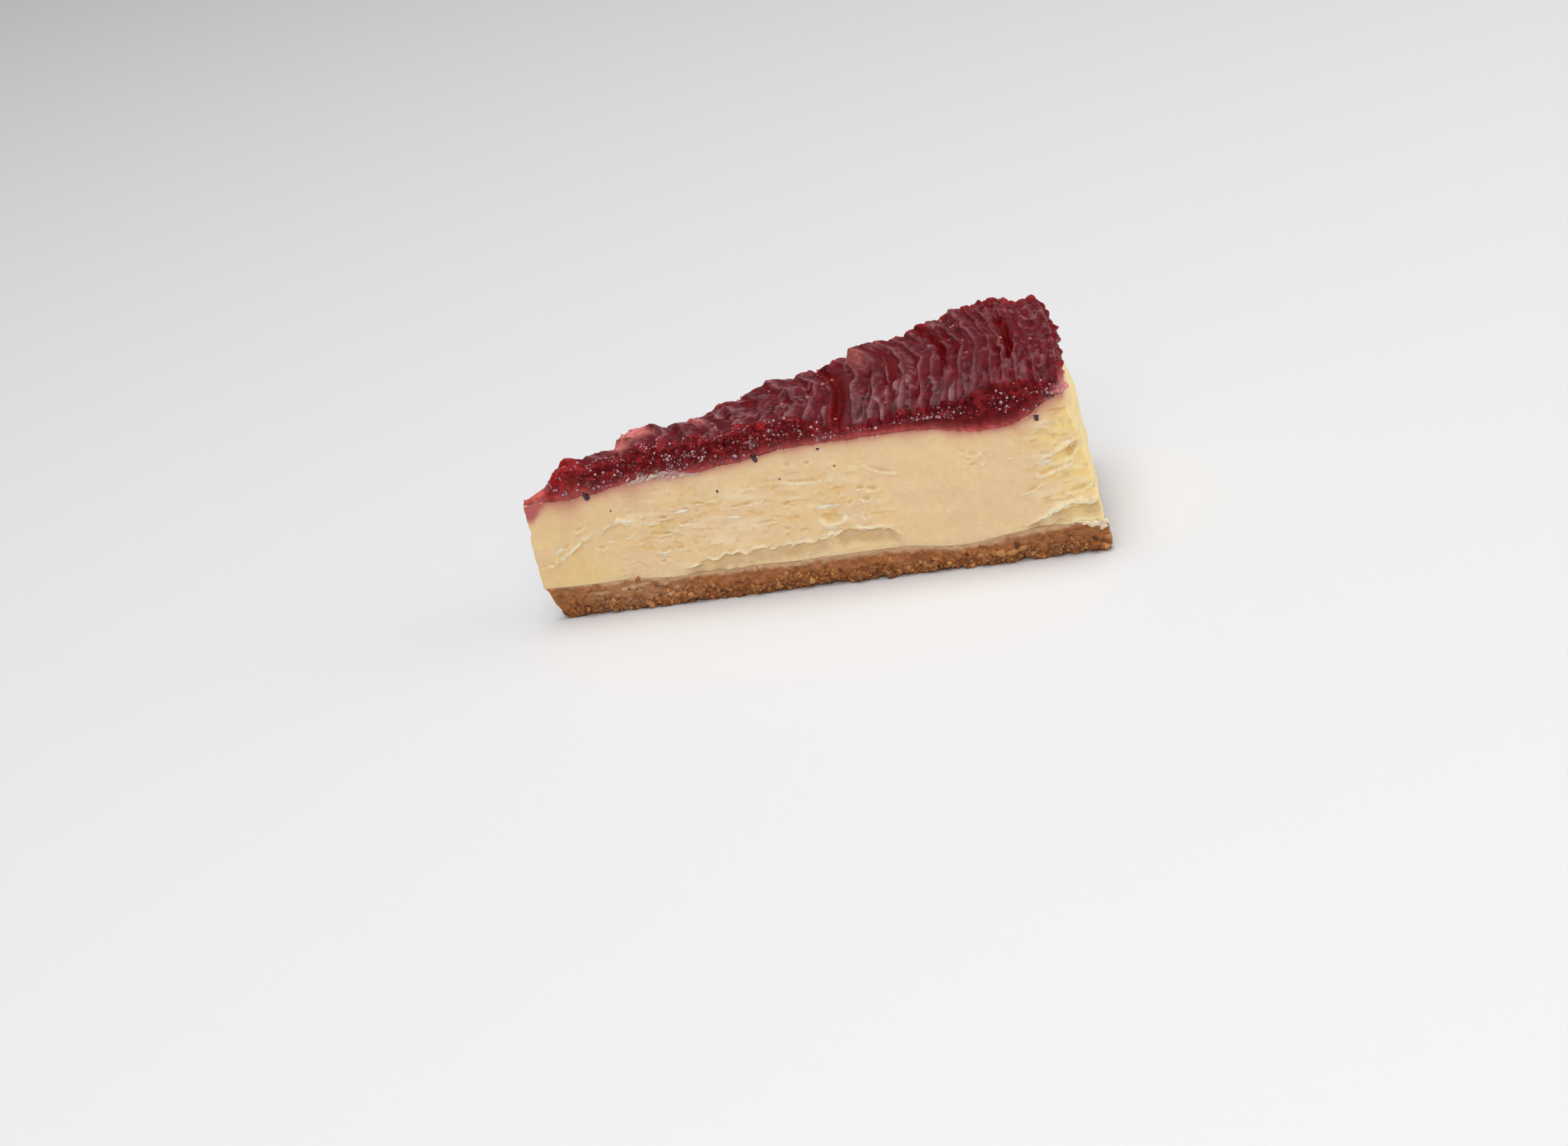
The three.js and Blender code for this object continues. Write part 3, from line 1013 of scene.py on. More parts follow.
@dataclass(frozen=True)
class Ledge:
    """A line where the knife tore the filling, in millimetres. The face below it is set in.

    Its knots are radii and heights. The lip above it grows from the line's start to its end. A ledge
    that is whole, at 0.8 or more, runs on without a break, and a lower share lets it come and go.
    """

    knots: tuple[tuple[float, float], ...]
    drop: float
    depth: float
    lip_start: float = 0.3
    lip_end: float = 0.3
    whole: float = 0.8

    def line(self, along: Array) -> Array:
        """Works out the torn line, scalloped where small flaps came off.

        Args:
            along: distance from the tip along the cut.

        Returns:
            Its height.
        """
        radii, heights = np.array(self.knots).T
        scallop = 1.3 * np.abs(noise(along / 3.0, 6.5, radii[0])) + 0.3 * noise(along / 0.9, 7.5, radii[0])
        return np.interp(along, radii, heights) + 0.5 * noise(along / 4, 2.5, radii[0]) - scallop

    def span(self, along: Array) -> Array:
        """Returns 1 along the ledge, fading out at both ends."""
        start, end = self.knots[0][0], self.knots[-1][0]
        return plateau(along, start, start + 5, end - 4, end)

    def set_back(self, along: Array, z: Array) -> Array:
        """Works out how the face is set in below the line.

        Args:
            along: distance from the tip along the cut.
            z: height.

        Returns:
            How far it stands back.
        """
        below = self.line(along) - z
        depth = self.depth * np.clip(self.whole + noise(along / 2.8, 9.5, self.knots[0][0]), 0.05, 1.2)
        fade = 1 - smooth(below, self.drop / 2, self.drop)
        return depth * self.span(along) * smooth(below, 0, 0.4) * fade

    def shade(self, along: Array, z: Array) -> Array:
        """Works out the painted shadow right under the torn lip.

        Args:
            along: distance from the tip along the cut.
            z: height.

        Returns:
            How near each point is to it, from 0 to 1.
        """
        above = z - self.line(along)
        under = bump(-above, 0.3, 0.4) + 0.5 * (1 - self.whole) * bump(above, 1.3, 0.9)
        return self.span(along) * under * smooth(noise(along / 1.3, 8.5, z), -0.6, 0.3)

    def lip(self, along: Array, z: Array) -> Array:
        """Works out the torn lip that hangs over the ledge.

        Args:
            along: distance from the tip along the cut.
            z: height.

        Returns:
            How much each point belongs to it, from 0 to about 1.
        """
        above = z - self.line(along)
        start, end = self.knots[0][0], self.knots[-1][0]
        size = mix(self.lip_start, self.lip_end, smooth(along, start, end))
        ragged = 0.65 + 0.9 * noise(along / 2.2, 4.4, start) + 0.6 * noise(along / 0.8, z / 0.7, start)
        return self.span(along) * bump(above, size, size) * np.clip(ragged, 0, 1.2)


@dataclass(frozen=True)
class Tear:
    """A small place where the knife lifted the cream, in millimetres along the cut and up it."""

    along: float
    z: float
    length: float
    height: float
    depth: float
    tilt: float = 0.0

    def shape(self, along: Array, z: Array) -> tuple[Array, Array]:
        """Works out the tear.

        Args:
            along: distance from the tip along the cut.
            z: height.

        Returns:
            How deep it is and how high its lip is, each from 0 to 1.
        """
        over, up = along - self.along, z - self.z
        u = (over * math.cos(self.tilt) + up * math.sin(self.tilt)) / self.length
        v = (up * math.cos(self.tilt) - over * math.sin(self.tilt)) / self.height
        reach = np.hypot(u, v) + 0.3 * noise(along / 1.1, z / 0.8, self.along)
        return 1 - smooth(reach, 0.35, 1.0), bump(reach, 1.12, 0.2) * (1 - smooth(v, -0.5, 0.4))


@dataclass
class RicottaFilling:
    """The baked cream, sunk in the middle of the cake, with a lip at the rim that leans inwards."""

    wedge: Wedge
    base: BiscuitBase
    tip_height: float = 27.2
    inner_rise: float = 2.2
    outer_rise: float = 2.6
    rim_lip: float = 3.6
    tip_lean: float = 0.6
    relief: float = 0.3
    flake_lip: float = 0.28
    pressed_together: float = 0.02
    steps: tuple[int, int, int] = (400, 150, 84)
    ledges: tuple[Ledge, ...] = (
        Ledge(((-1, 11.6), (8, 15.8), (17, 20.4), (24, 21.2)), 5.5, 0.6, 0.35, 0.55, 0.45),
        Ledge(((30, 8.0), (40, 10.4), (60, 10.6), (66, 12.2), (75, 13.0), (80, 9.0)), 4.2, 0.7, 0.3, 0.45),
        Ledge(((103, 8.0), (114, 11.2), (123, 11.8)), 3.8, 0.9, 0.35, 1.0),
        Ledge(((108, 21.4), (121, 26.6)), 2.6, 0.5, 0.3, 0.6),
    )
    tears: tuple[Tear, ...] = (
        Tear(65.1, 15.4, 2.6, 1.5, 0.55, 0.1),
        Tear(69.7, 18.2, 0.8, 0.5, 0.4),
        Tear(73.2, 18.6, 1.0, 0.6, 0.35),
        Tear(72.4, 14.6, 0.6, 0.5, 0.4),
        Tear(72.6, 21.2, 1.0, 0.5, 0.35),
        Tear(75.2, 20.6, 1.2, 0.6, 0.35),
        Tear(60.5, 24.4, 4.6, 0.5, 0.3, -0.1),
        Tear(77.6, 24.6, 3.0, 0.6, 0.3, -0.35),
        Tear(62.7, 28.2, 0.8, 0.4, 0.4),
        Tear(58.5, 28.4, 0.8, 0.4, 0.35),
        Tear(68.3, 26.6, 0.6, 0.4, 0.35),
        Tear(56.2, 19.8, 1.1, 0.5, 0.3),
        Tear(95.4, 26.2, 0.9, 0.5, 0.2, 0.2),
        Tear(97.4, 25.3, 1.3, 0.7, 0.2),
        Tear(99.8, 24.9, 0.8, 0.6, 0.18, -0.3),
        Tear(96.2, 24.1, 0.7, 0.5, 0.2),
        Tear(98.6, 23.6, 0.8, 0.5, 0.16, 0.4),
        Tear(97.2, 22.9, 1.8, 0.4, 0.25),
        Tear(29.4, 20.4, 1.0, 0.5, 0.4),
        Tear(33.4, 18.5, 0.9, 0.45, 0.4),
        Tear(19.0, 17.0, 2.4, 0.5, 0.35, 0.15),
        Tear(28.8, 16.8, 1.9, 0.45, 0.35, 0.1),
        Tear(14.4, 15.3, 1.2, 0.5, 0.35),
        Tear(27.8, 12.8, 1.3, 0.5, 0.35),
        Tear(31.4, 13.1, 1.0, 0.45, 0.35),
        Tear(27.2, 10.5, 0.6, 0.5, 0.4),
        Tear(38.0, 22.6, 3.2, 0.4, 0.25, 0.05),
        Tear(46.5, 20.8, 3.6, 0.4, 0.25, 0.03),
        Tear(50.5, 16.4, 2.6, 0.4, 0.25, 0.05),
        Tear(2.6, 13.1, 0.9, 0.5, 0.45, 0.3),
        Tear(6.6, 16.6, 1.0, 0.5, 0.35, 0.4),
        Tear(10.4, 20.2, 1.3, 0.5, 0.3, 0.3),
        Tear(107.4, 16.0, 2.2, 0.5, 0.3, 0.35),
        Tear(112.5, 19.6, 3.4, 0.7, 0.45, 0.25),
        Tear(117.5, 23.6, 2.6, 0.8, 0.5, 0.8),
        Tear(116.5, 14.9, 2.4, 0.6, 0.35, 0.3),
    )
    finish: BakedRicotta = BakedRicotta()

    def top(self, radius: Array, across: Array) -> Array:
        """Works out the filling's upper face, before the jelly's weight makes it uneven.

        Args:
            radius: radius from the cake's centre.
            across: share of the way across the wedge.

        Returns:
            Its height.
        """
        inner = self.inner_rise * smooth(radius, 8, 29)
        outer = self.outer_rise * smooth(radius, 34, 66)
        lip = self.rim_lip * smooth(radius, 107, 119)
        dip = 1.9 * bump(radius, 101, 10) * bump(across, 0, 0.15)
        uneven = 0.25 * noise(radius / 13, across * 2.5, 9.5)
        return self.tip_height + inner + outer + lip - dip + uneven

    def seam(self, radius: Array, across: Array) -> Array:
        """Works out the uneven face where the jelly meets the filling.

        Args:
            radius: radius from the cake's centre.
            across: share of the way across the wedge.

        Returns:
            Its height.
        """
        near_cut = np.abs(2 * across - 1) ** 6
        wavy = 0.3 * noise(radius / 2.6, across * 5, 14.5) + 0.18 * noise(radius / 0.9, across * 9, 15.5)
        return self.top(radius, across) + near_cut * wavy

    def share_up(self, radius: Array, across: Array, z: Array) -> Array:
        """Returns the share of the way up the layer that a height is at."""
        bottom = self.base.top(radius, across) - self.pressed_together
        return (z - bottom) / (self.seam(radius, across) - bottom)

    def cut_relief(self, along: Array, z: Array, cut: Array) -> dict[str, Array]:
        """Works out what the knife left on a cut face.

        Args:
            along: distance from the tip along the cut.
            z: height.
            cut: 0 for the front cut and 1 for the back one.

        Returns:
            How far the face stands out, and its marks from 0 to 1.
        """
        shifted = np.where(cut > 0.5, along + 4.3 * noise(along / 17, 1.5, 2.5), along)
        raised = np.where(cut > 0.5, z - 1.4 - 0.9 * noise(along / 21, 4.5, 1.5), z)
        drag = self.relief * noise(along / 6, cut * 4 + 1.5, z / 3.2)
        torn = sum(ledge.set_back(shifted, raised) for ledge in self.ledges)
        lip = sum(ledge.lip(shifted, raised) for ledge in self.ledges)
        dent = np.zeros(along.shape)
        for tear in self.tears:
            deep, edge = tear.shape(shifted, raised)
            dent = np.maximum(dent, deep * tear.depth / 0.5)
            lip = np.maximum(lip, edge * min(1.0, tear.depth / 0.33))
        middle = plateau(along, 12, 26, 70, 84) * bump(z, 18, 10)
        rough = np.clip(0.2 + 0.8 * middle + 0.8 * smooth(along, 103, 112), 0, 1)
        bar = 0.6 - 0.34 * rough
        flake, above = (
            noise(along / 2.2, cut * 7 + 0.4, level / 0.75)
            + 0.45 * noise(along / 0.9, cut * 5 + 2.2, level / 0.4)
            for level in (z, z - self.flake_lip)
        )
        lifted = smooth(flake, bar, bar + 0.25) * rough
        rolled = smooth(above, bar, bar + 0.15) * (1 - smooth(flake, bar - 0.1, bar + 0.1)) * rough
        near, _, chance = cells(along / 1.7 + cut * 40, z / 1.2, 3.0)
        pore = (1 - smooth(near, 0.1, 0.34)) * smooth(chance, 0.84, 0.9) * (0.3 + 0.7 * rough)
        streak = noise(along / 9, cut * 3 + 6.6, z / 0.55 + along / 14)
        drawn = noise(along / 4.5, cut * 5 + 8.8, z + along / 18) * rough
        # Painted shadow under each torn lip.
        under = sum(ledge.shade(shifted, raised) for ledge in self.ledges)
        whey = sum(self.ledges[n].set_back(shifted, raised) / self.ledges[n].depth for n in (1, 2))
        whey = np.clip(whey, 0, 1)
        at_foot = 0.2 * (1 - smooth(along, 8, 20)) * (1 - smooth(z, 10, 16))
        deeper = 0.3 * smooth(drawn, 0.1, 0.6) + at_foot + 0.13 * (1 - smooth(along, 8, 26))
        paler = 0.35 * smooth(-drawn, 0.15, 0.6) * (1 - whey)
        out = (
            drag - torn - 0.5 * dent - 0.26 * lifted - 0.22 * pore
            + 0.32 * np.clip(lip, 0, 1) + 0.15 * rolled + 0.03 * streak
            + whey * 0.15 * noise(along / 0.9, cut, z / 0.8)
        )
        return {
            "out": out,
            # Painted shade in tears, flakes, pores and under the lips, with darker streaks.
            "dent": np.clip(0.7 * dent + 0.42 * lifted + 0.5 * pore + 0.6 * under + deeper, 0, 1),
            # Painted highlight on torn lips and rolled edges, with paler streaks.
            "shred": np.clip(0.9 * lip + 0.5 * rolled + paler, 0, 1),
            "whey": whey,
        }

    def place(self, radius: Array, across: Array, up: Array) -> tuple[Array, dict[str, Array]]:
        """Places points of the layer.

        Args:
            radius: radius from the cake's centre.
            across: share of the way across the wedge.
            up: share of the way up the layer.

        Returns:
            The points and the marks that the finish reads.
        """
        rim = self.wedge.cake_radius
        bottom = self.base.top(radius, across) - self.pressed_together
        seam = self.seam(radius, across)
        z = mix(bottom, seam, up)
        face = self.cut_relief(radius, z, np.round(across))
        at_rim = radius >= rim - NEAR
        arc = across * self.wedge.rim_arc
        sag = noise(arc / 7, z / 2.2, 12.5)
        fine = noise(arc / 2.5, z / 0.8, 2.2)
        crack = smooth(noise(arc / 9 + z / 14, z / 0.9, 6.1), 0.35, 0.7)
        wall = at_rim * (0.3 * sag + 0.1 * fine - 0.3 * crack)
        lean = self.wedge.lean(across, z) * (radius / rim) ** 6
        at_tip = 1 - smooth(radius, 0, 8)
        tip = self.tip_lean * smooth(z, 14, 24) + 0.38 * noise(z / 1.6, across * 2, 7.5)
        tip = at_tip * (tip + 0.16 * noise(z / 0.6, across * 3, 3.5))
        wall = wall - lean + tip + self.wedge.flare(radius, across, z)
        points = self.wedge.point(radius, across, z, face["out"], wall)
        below = seam - z
        soak = (1.3 + 0.6 * noise(radius / 5, across * 7, 3.3)) * (1 + 0.8 * bump(radius, 24, 2))
        wetter = 1 + 0.8 * smooth(radius, 112, 118) + 1.5 * bump(radius, 5, 7)
        soak = soak * (1 - 0.3 * bump(radius, 50, 14)) * wetter
        reach = mix(5.0, 1.2, np.clip(below / 4.2, 0, 1)) + 0.5 * noise(z / 1.3, across * 2, 8.1)
        run = (1 - smooth(radius, 0.1 * reach, 1.2 * reach)) * (1 - smooth(below, 2.4, 5.6))
        rim_tone = smooth(radius, 108, 117) + (1 - smooth(radius, 4, 26)) * 0.08
        at_ends = smooth(radius, 106, 114) + 0.6 * (1 - smooth(radius, 5, 16))
        blotch = 0.5 * at_ends * smooth(noise(radius / 1.8, z / 1.2, 4.4), 0.0, 0.6)
        yolk = (0.7 + 0.15 * at_rim) * rim_tone + 0.2 * noise(radius / 8, z / 5, 1.7) + blotch
        drained = 0.4 * bump(radius, 40, 9) + 0.3 * bump(radius, 110, 7)
        marks = {
            "yolk": np.clip(yolk, 0, 1),
            "whey": 0.8 * face["whey"] * (1 - at_rim) * (1 - drained),
            # On the rim wall the cracks get painted shade.
            "dent": np.where(at_rim, 0.4 * crack, face["dent"]),
            "shred": np.where(at_rim, 0.2 * smooth(-sag, 0.0, 0.6), face["shred"]),
            "stain": np.clip(0.85 * np.exp(-((below / np.maximum(soak, 0.4)) ** 1.2)) + 0.95 * run, 0, 1),
        }
        return points, marks

    def build(self) -> bpy.types.Object:
        """Builds the layer, which stands for the part's filling.

        Returns:
            The layer.
        """
        radii = spread(self.wedge.tip_radius, self.wedge.cake_radius, self.steps[0])
        rows = spread(0, 1, self.steps[2], ease=0.3)
        shell = ShellGrid(radii, spread(0, 1, self.steps[1]), rows).weave()
        points, marks = self.place(shell.radius, shell.across, shell.up)
        finish = self.finish.material()
        piece = add_piece("ricotta_cream_layer", points, shell.faces, finish, marks)
        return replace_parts(piece, "ricotta_filling")


@dataclass(frozen=True)
class Heap:
    """A ring where the jelly was spread thicker, or thinner, than its even climb."""

    radius: float
    width: float
    height: float


@dataclass(frozen=True)
class Lobe:
    """A lobe that the spatula left where it set off again: it steps up at its start and falls to its end."""

    start: float
    end: float
    height: float
    step: float = 1.2

    def rise(self, radius: Array) -> Array:
        """Works out the lobe.

        Args:
            radius: radius from the cake's centre.

        Returns:
            How much higher the jelly is there.
        """
        climb = smooth(radius, self.start, self.start + self.step)
        fall = np.clip((self.end - radius) / (self.end - self.start - self.step), 0, 1)
        return self.height * np.minimum(climb, fall)


@dataclass(frozen=True)
class Gap:
    """A ring where two folds of the jelly parted, over a part of the way across the wedge."""

    radius: float
    width: float
    depth: float
    start: float
    end: float
    ease: float = 0.06

    def drop(self, radius: Array, across: Array) -> Array:
        """Works out the gap.

        Args:
            radius: radius from the cake's centre.
            across: share of the way across the wedge.

        Returns:
            How deep it is.
        """
        start, end, ease = self.start, self.end, self.ease
        span = plateau(across, start - ease, start + ease, end - ease, end + ease)
        return self.depth * span * bump(radius, self.radius, self.width)


@dataclass
class BerryJelly:
    """The red jelly: combed in rings, smeared thin over the tip and dragged down along the front cut."""

    wedge: Wedge
    filling: RicottaFilling
    tip_set_back: float = 0.9
    rim_inset: float = 0.4
    tip_height: float = 31.5
    climb: float = 0.098
    rim_fall: float = 2.4
    smear_start: float = 4.6
    smear_end: float = 8.6
    smear_drop: float = 3.4
    smear_slope: float = 0.2
    smear_thickness: float = 0.9
    slump: float = 4.0
    slump_width: float = 12.0
    shoulder: float = 1.2
    bulge: float = 0.4
    pitch_tip: float = 6.6
    pitch_rim: float = 3.3
    fold_tip: float = 1.3
    fold_rim: float = 0.75
    groove: float = 0.5
    steep_share: float = 0.26
    spiral: float = 3.0
    bow: float = 1.8
    curl: float = 0.75
    steps: tuple[int, int, int] = (500, 124, 24)
    heaps: tuple[Heap, ...] = (
        Heap(11, 4.5, 1.2),
        Heap(28, 4.0, 2.2),
        Heap(42, 2.8, -1.2),
        Heap(57, 3.6, 0.9),
        Heap(86, 3.0, -0.6),
        Heap(93.5, 3.5, 0.5),
    )
    lobes: tuple[Lobe, ...] = (Lobe(75.3, 88, 1.5), Lobe(97, 105.5, 1.4), Lobe(105.5, 113, 1.0))
    gaps: tuple[Gap, ...] = (
        Gap(68.6, 1.2, 1.5, 0.0, 1.0),
        Gap(107.2, 0.9, 1.6, 0.2, 0.7),
        Gap(80.5, 0.8, 0.9, 0.1, 0.8),
        Gap(92.0, 0.8, 0.8, 0.25, 0.95),
    )
    finish: BerryGel = BerryGel()
    end: float = field(init=False)
    feet: Array = field(init=False)

    def __post_init__(self) -> None:
        """Works out the radii where one fold ends and the next begins."""
        self.end = self.wedge.cake_radius - self.rim_inset
        feet = [self.smear_end]
        while feet[-1] < self.end - self.pitch_rim * 0.6:
            pitch = mix(self.pitch_tip, self.pitch_rim, smooth(np.float64(feet[-1]), 40, 80))
            feet.append(feet[-1] + pitch * (0.75 + 0.5 * lattice(len(feet), 3, 8)))
        feet[-1] = self.end
        self.feet = np.array(feet)

    def folds(self, radius: Array, across: Array) -> tuple[Array, Array, Array]:
        """Works out the combed folds.

        Args:
            radius: radius from the cake's centre.
            across: share of the way across the wedge.

        Returns:
            The height of the folds, how near each point is to a crest, and how near it is to a gap.
        """
        width = self.wedge.off_middle(radius, across)
        wander = 0.9 * noise(width / 8, radius / 9, 2.6) + 0.6 * noise(width / 3.5, radius / 4, 8.2)
        free = plateau(radius, 12, 20, 114, 118)
        drawn = np.clip(radius + wander * free, None, self.end)
        n = np.clip(np.searchsorted(self.feet, drawn + NEAR, side="right") - 1, 0, len(self.feet) - 2)
        share = np.clip((drawn - self.feet[n]) / (self.feet[n + 1] - self.feet[n]), 0, 1)
        open_here = smooth(noise(n * 3.1, across * 3.5, 11.5), -0.4, 0.4)
        steep = self.steep_share * mix(0.75, 1.5, open_here)
        climb = smooth(share, 0, steep)
        fall = 1 - np.clip((share - steep) / (1 - steep), 0, 1) ** 1.8
        size = mix(self.fold_tip, self.fold_rim, smooth(radius, 40, 80))
        size = size * (1 - 0.5 * smooth(across, 0.75, 0.95))
        uneven = 0.7 + 0.65 * noise(n * 1.7, across * 2.2, 6.5) + 0.55 * noise(n * 2.3, across * 7, 1.5)
        uneven = np.clip(uneven, 0.1, 1.4) * (1 - 0.65 * smooth(radius, 107, 111))
        inside = (drawn > self.feet[0]) & (radius < self.end - NEAR)
        crest = bump(share, steep + 0.04, 0.1) * inside * np.clip(uneven, 0, 1)
        gap = 1 - smooth(share, 0.6 * steep, 1.1 * steep) + 0.6 * bump(share, 1.0, 0.05)
        gap = gap * inside * mix(0.2, 1.0, open_here) * mix(0.6, 1.0, smooth(radius, 48, 62))
        gap = gap * (1 - 0.5 * smooth(radius, 108, 112))
        return (size * uneven * np.minimum(climb, fall) - self.groove * gap) * inside, crest, gap

    def strokes(self, radius: Array, across: Array) -> tuple[Array, Array]:
        """Works out the thin lines and the lumps that the spatula left on the folds.

        Args:
            radius: radius from the cake's centre.
            across: share of the way across the wedge.

        Returns:
            Their height, and how much painted sheen each point gets, on the lines and in a mottle over
            the folds, from 0 to 1.
        """
        width = self.wedge.off_middle(radius, across)
        bend = radius + 0.9 * noise(width / 6, radius / 6, 4.1)
        here = smooth(noise(radius / 8, width / 6, 7.7), -0.4, 0.3)
        line = here * (1 - np.abs(noise(bend / 1.3, width / 9, 1.3))) ** 7
        slant_in, slant_on = 0.78 * bend + 0.62 * width, 0.78 * width - 0.62 * bend
        slanted = bump(radius, 47, 5) + 0.4 * bump(radius, 79, 6)
        cross = (0.15 + 0.75 * slanted) * (1 - np.abs(noise(slant_in / 2.8, slant_on / 9, 9.4))) ** 9
        lump = noise(bend / 1.9, width / 2.4, 5.5)
        grit = noise(radius / 0.8, width / 0.8, 3.2)
        near, next_near, _ = cells(radius / 2.0, width / 2.0, 6.0)
        pebbled = smooth(radius, 99, 111)
        pebble = (0.6 * (0.6 - near) - 0.3 * (1 - smooth(next_near - near, 0, 0.3))) * pebbled
        clot = noise(bend / 0.95, width / 1.3, 8.5)
        line = line * (1 - 0.7 * pebbled)
        height = 0.24 * line + 0.18 * cross + 0.34 * lump + 0.15 * clot + 0.08 * grit + pebble
        # Painted sheen: a mottle over the folds, stronger in a ring at 45 mm and weaker at 101 mm.
        sheen_ring = 0.38 * bump(radius, 45, 6) - 0.12 * bump(radius, 101, 5)
        sheen_mottle = (0.28 + sheen_ring + 0.18 * pebbled) * smooth(clot + 0.6 * lump, 0.0, 0.8)
        drawn = smooth(0.9 * line + cross, 0.45, 1.0) * (1 - 0.5 * pebbled)
        return height, np.clip(drawn + sheen_mottle, 0, 1)

    def slumped(self, radius: Array, inside: Array) -> Array:
        """Works out the slump towards the front cut, where the knife dragged the jelly.

        Args:
            radius: radius from the cake's centre.
            inside: distance inside the front cut.

        Returns:
            How much lower the jelly lies.
        """
        share = np.clip(inside / np.minimum(self.slump_width, 0.9 * self.wedge.half_width(radius)), 0, 1)
        along = smooth(radius, 60, 72) * (1 - 0.35 * smooth(radius, 96, 103))
        return self.slump * along * (1 - share) ** 2

    @staticmethod
    def edge_drop(inside: Array, rounding: Array) -> Array:
        """Returns the drop of a rounded edge at a distance inside it."""
        share = np.clip(1 - inside / rounding, 0, 1)
        return rounding * (1 - np.sqrt(1 - share * share))

    def top(self, radius: Array, across: Array) -> tuple[Array, Array, Array]:
        """Works out the upper face.

        Args:
            radius: radius from the cake's centre.
            across: share of the way across the wedge.

        Returns:
            The height of the upper face, the crest mark of its folds, where the pale sheen is painted,
            and their gap mark.
        """
        width = 2 * self.wedge.half_width(radius)
        shoulder = np.minimum(self.shoulder, width / 4)
        level = self.tip_height + self.climb * radius
        smear = self.smear_drop - self.smear_slope * radius
        smear = smear * (1 - smooth(radius, self.smear_start, self.smear_end))
        rim_fall = self.rim_fall * smooth(radius, 109, 117)
        lumps = 0.4 * noise(radius / 7, across * 2.6, 3.5) + 0.4 * noise(radius / 3.6, across * 4, 13.5)
        drop = (
            self.edge_drop(across * width, shoulder)
            + self.edge_drop((1 - across) * width, shoulder)
            + self.edge_drop(self.end - radius, self.shoulder)
            + self.slumped(radius, across * width)
        )
        drawn = radius + 0.5 * noise(width * (across - 0.5) / 6, radius / 9, 5.2)
        heap = sum(h.height * bump(radius, h.radius, h.width) for h in self.heaps) * (1 + across) / 2
        lobed = sum(lobe.rise(drawn) for lobe in self.lobes) * smooth(across, -0.1, 0.5)
        fold, crest, gap = self.folds(radius, across)
        stroke, line = self.strokes(radius, across)
        parted = sum(g.drop(radius, across) for g in self.gaps)
        worked = smooth(radius, 4, 10)
        body = level - smear - rim_fall + lumps - drop + heap + lobed + fold
        drawn_out = smooth(noise(radius / 5, across * 8, 31.5), -0.4, 0.3)
        crest = np.clip(np.maximum(0.8 * crest * mix(0.4, 1, drawn_out), line) - parted, 0, 1)
        return body + worked * stroke - parted, crest, np.clip(gap * (1 - line) + parted, 0, 1)

    def grainy(self, radius: Array, across: Array, above: Array) -> Array:
        """Works out where the jelly's torn grain shows.

        Args:
            radius: radius from the cake's centre.
            across: share of the way across the wedge.
            above: height above the filling.

        Returns:
            1 on the cut faces and on the low strip beside them, and 0 on the combed top and on the
            stretch of the front cut that the knife left smooth.
        """
        inside = self.wedge.inside(radius, across)
        reach = mix(5.0, 0.6, np.maximum(smooth(radius, 46, 64), smooth(across, 0.5, 0.8)))
        strip = 1 - smooth(inside, 0.55 * reach, reach)
        limit = mix(1.0, 1.9, smooth(radius, 62, 86)) + 1.5 * bump(radius, 101, 9)
        limit = limit * (1 - smooth(radius, 107, 112)) + 0.5 * noise(radius / 2, 1.5, 6.5)
        clear = 1 - smooth(above, limit - 0.3, limit + 0.3)
        return smooth(radius, 4.5, 7.5) * strip * (1 - clear)

    @staticmethod
    def torn_grain(x: Array, y: Array, seed: float) -> tuple[Array, Array]:
        """Makes the grain of torn jelly: domes with creases between them, one to a unit each way.

        Args:
            x: first coordinate.
            y: second coordinate.
            seed: picks the scatter.

        Returns:
            How far the grain stands out, in millimetres, and each dome's shade.
        """
        near, next_near, shade = cells(x, y, seed)
        return 0.5 * (0.55 - near) * (0.3 + shade) - 0.2 * (1 - smooth(next_near - near, 0, 0.25)), shade

    def place(self, radius: Array, across: Array, up: Array) -> tuple[Array, dict[str, Array]]:
        """Places points of the layer.

        Args:
            radius: radius from the cake's centre.
            across: share of the way across the wedge.
            up: share of the way up the layer.

        Returns:
            The points and the marks that the finish reads.
        """
        in_folds = plateau(radius, 10, 25, self.end - 8, self.end)
        height, crest, gap = self.top(radius, across)
        at_back = smooth(across, 0.75, 0.95)
        curled = self.curl * crest * in_folds * up**2 * (1 - 0.7 * at_back)
        bowed = self.bow * (1 - (2 * across - 1) ** 2) * (1 - smooth(radius, self.end - 30, self.end))
        reach = radius + (bowed - self.spiral * (across - 0.5)) * in_folds - curled
        floor = self.filling.seam(reach, across) - self.filling.pressed_together
        thin = floor + self.smear_thickness * (1 - 0.3 * np.abs(2 * across - 1))
        z = mix(floor, np.maximum(height, thin), up)
        above = z - floor
        grainy = self.grainy(reach, across, above)
        cut = np.round(across)
        upper = up > 1 - NEAR
        at_rim = radius >= self.end - NEAR
        on_edge = (across < NEAR) | (across > 1 - NEAR) | at_rim
        thick = smooth(radius, 4, 12)
        belly = self.bulge * np.sin(math.pi * up) * thick
        grain = 0.25 * noise(radius / 1.9, cut * 11, z / 1.8) * thick
        seedy, shade = self.torn_grain(radius / 0.95 + cut * 30, z / 0.85, 4.0)
        seedy = grainy * (seedy + 0.12 * noise(radius / 0.5, cut * 5, z / 0.5)) * (1 - 0.7 * at_back * up**3)
        width = self.wedge.off_middle(radius, across)
        pips, spot_shade = self.torn_grain(radius / 0.95, width / 0.95, 14.0)
        z = z + np.where(upper & ~on_edge, grainy * pips * (1 - at_back), 0.0)
        lumpy, _, lump_shade = cells(across * 17, z / 2.6, 9.0)
        wall = 2 * belly + 2 * grain + 1.5 * (0.5 - lumpy) * (0.4 + lump_shade)
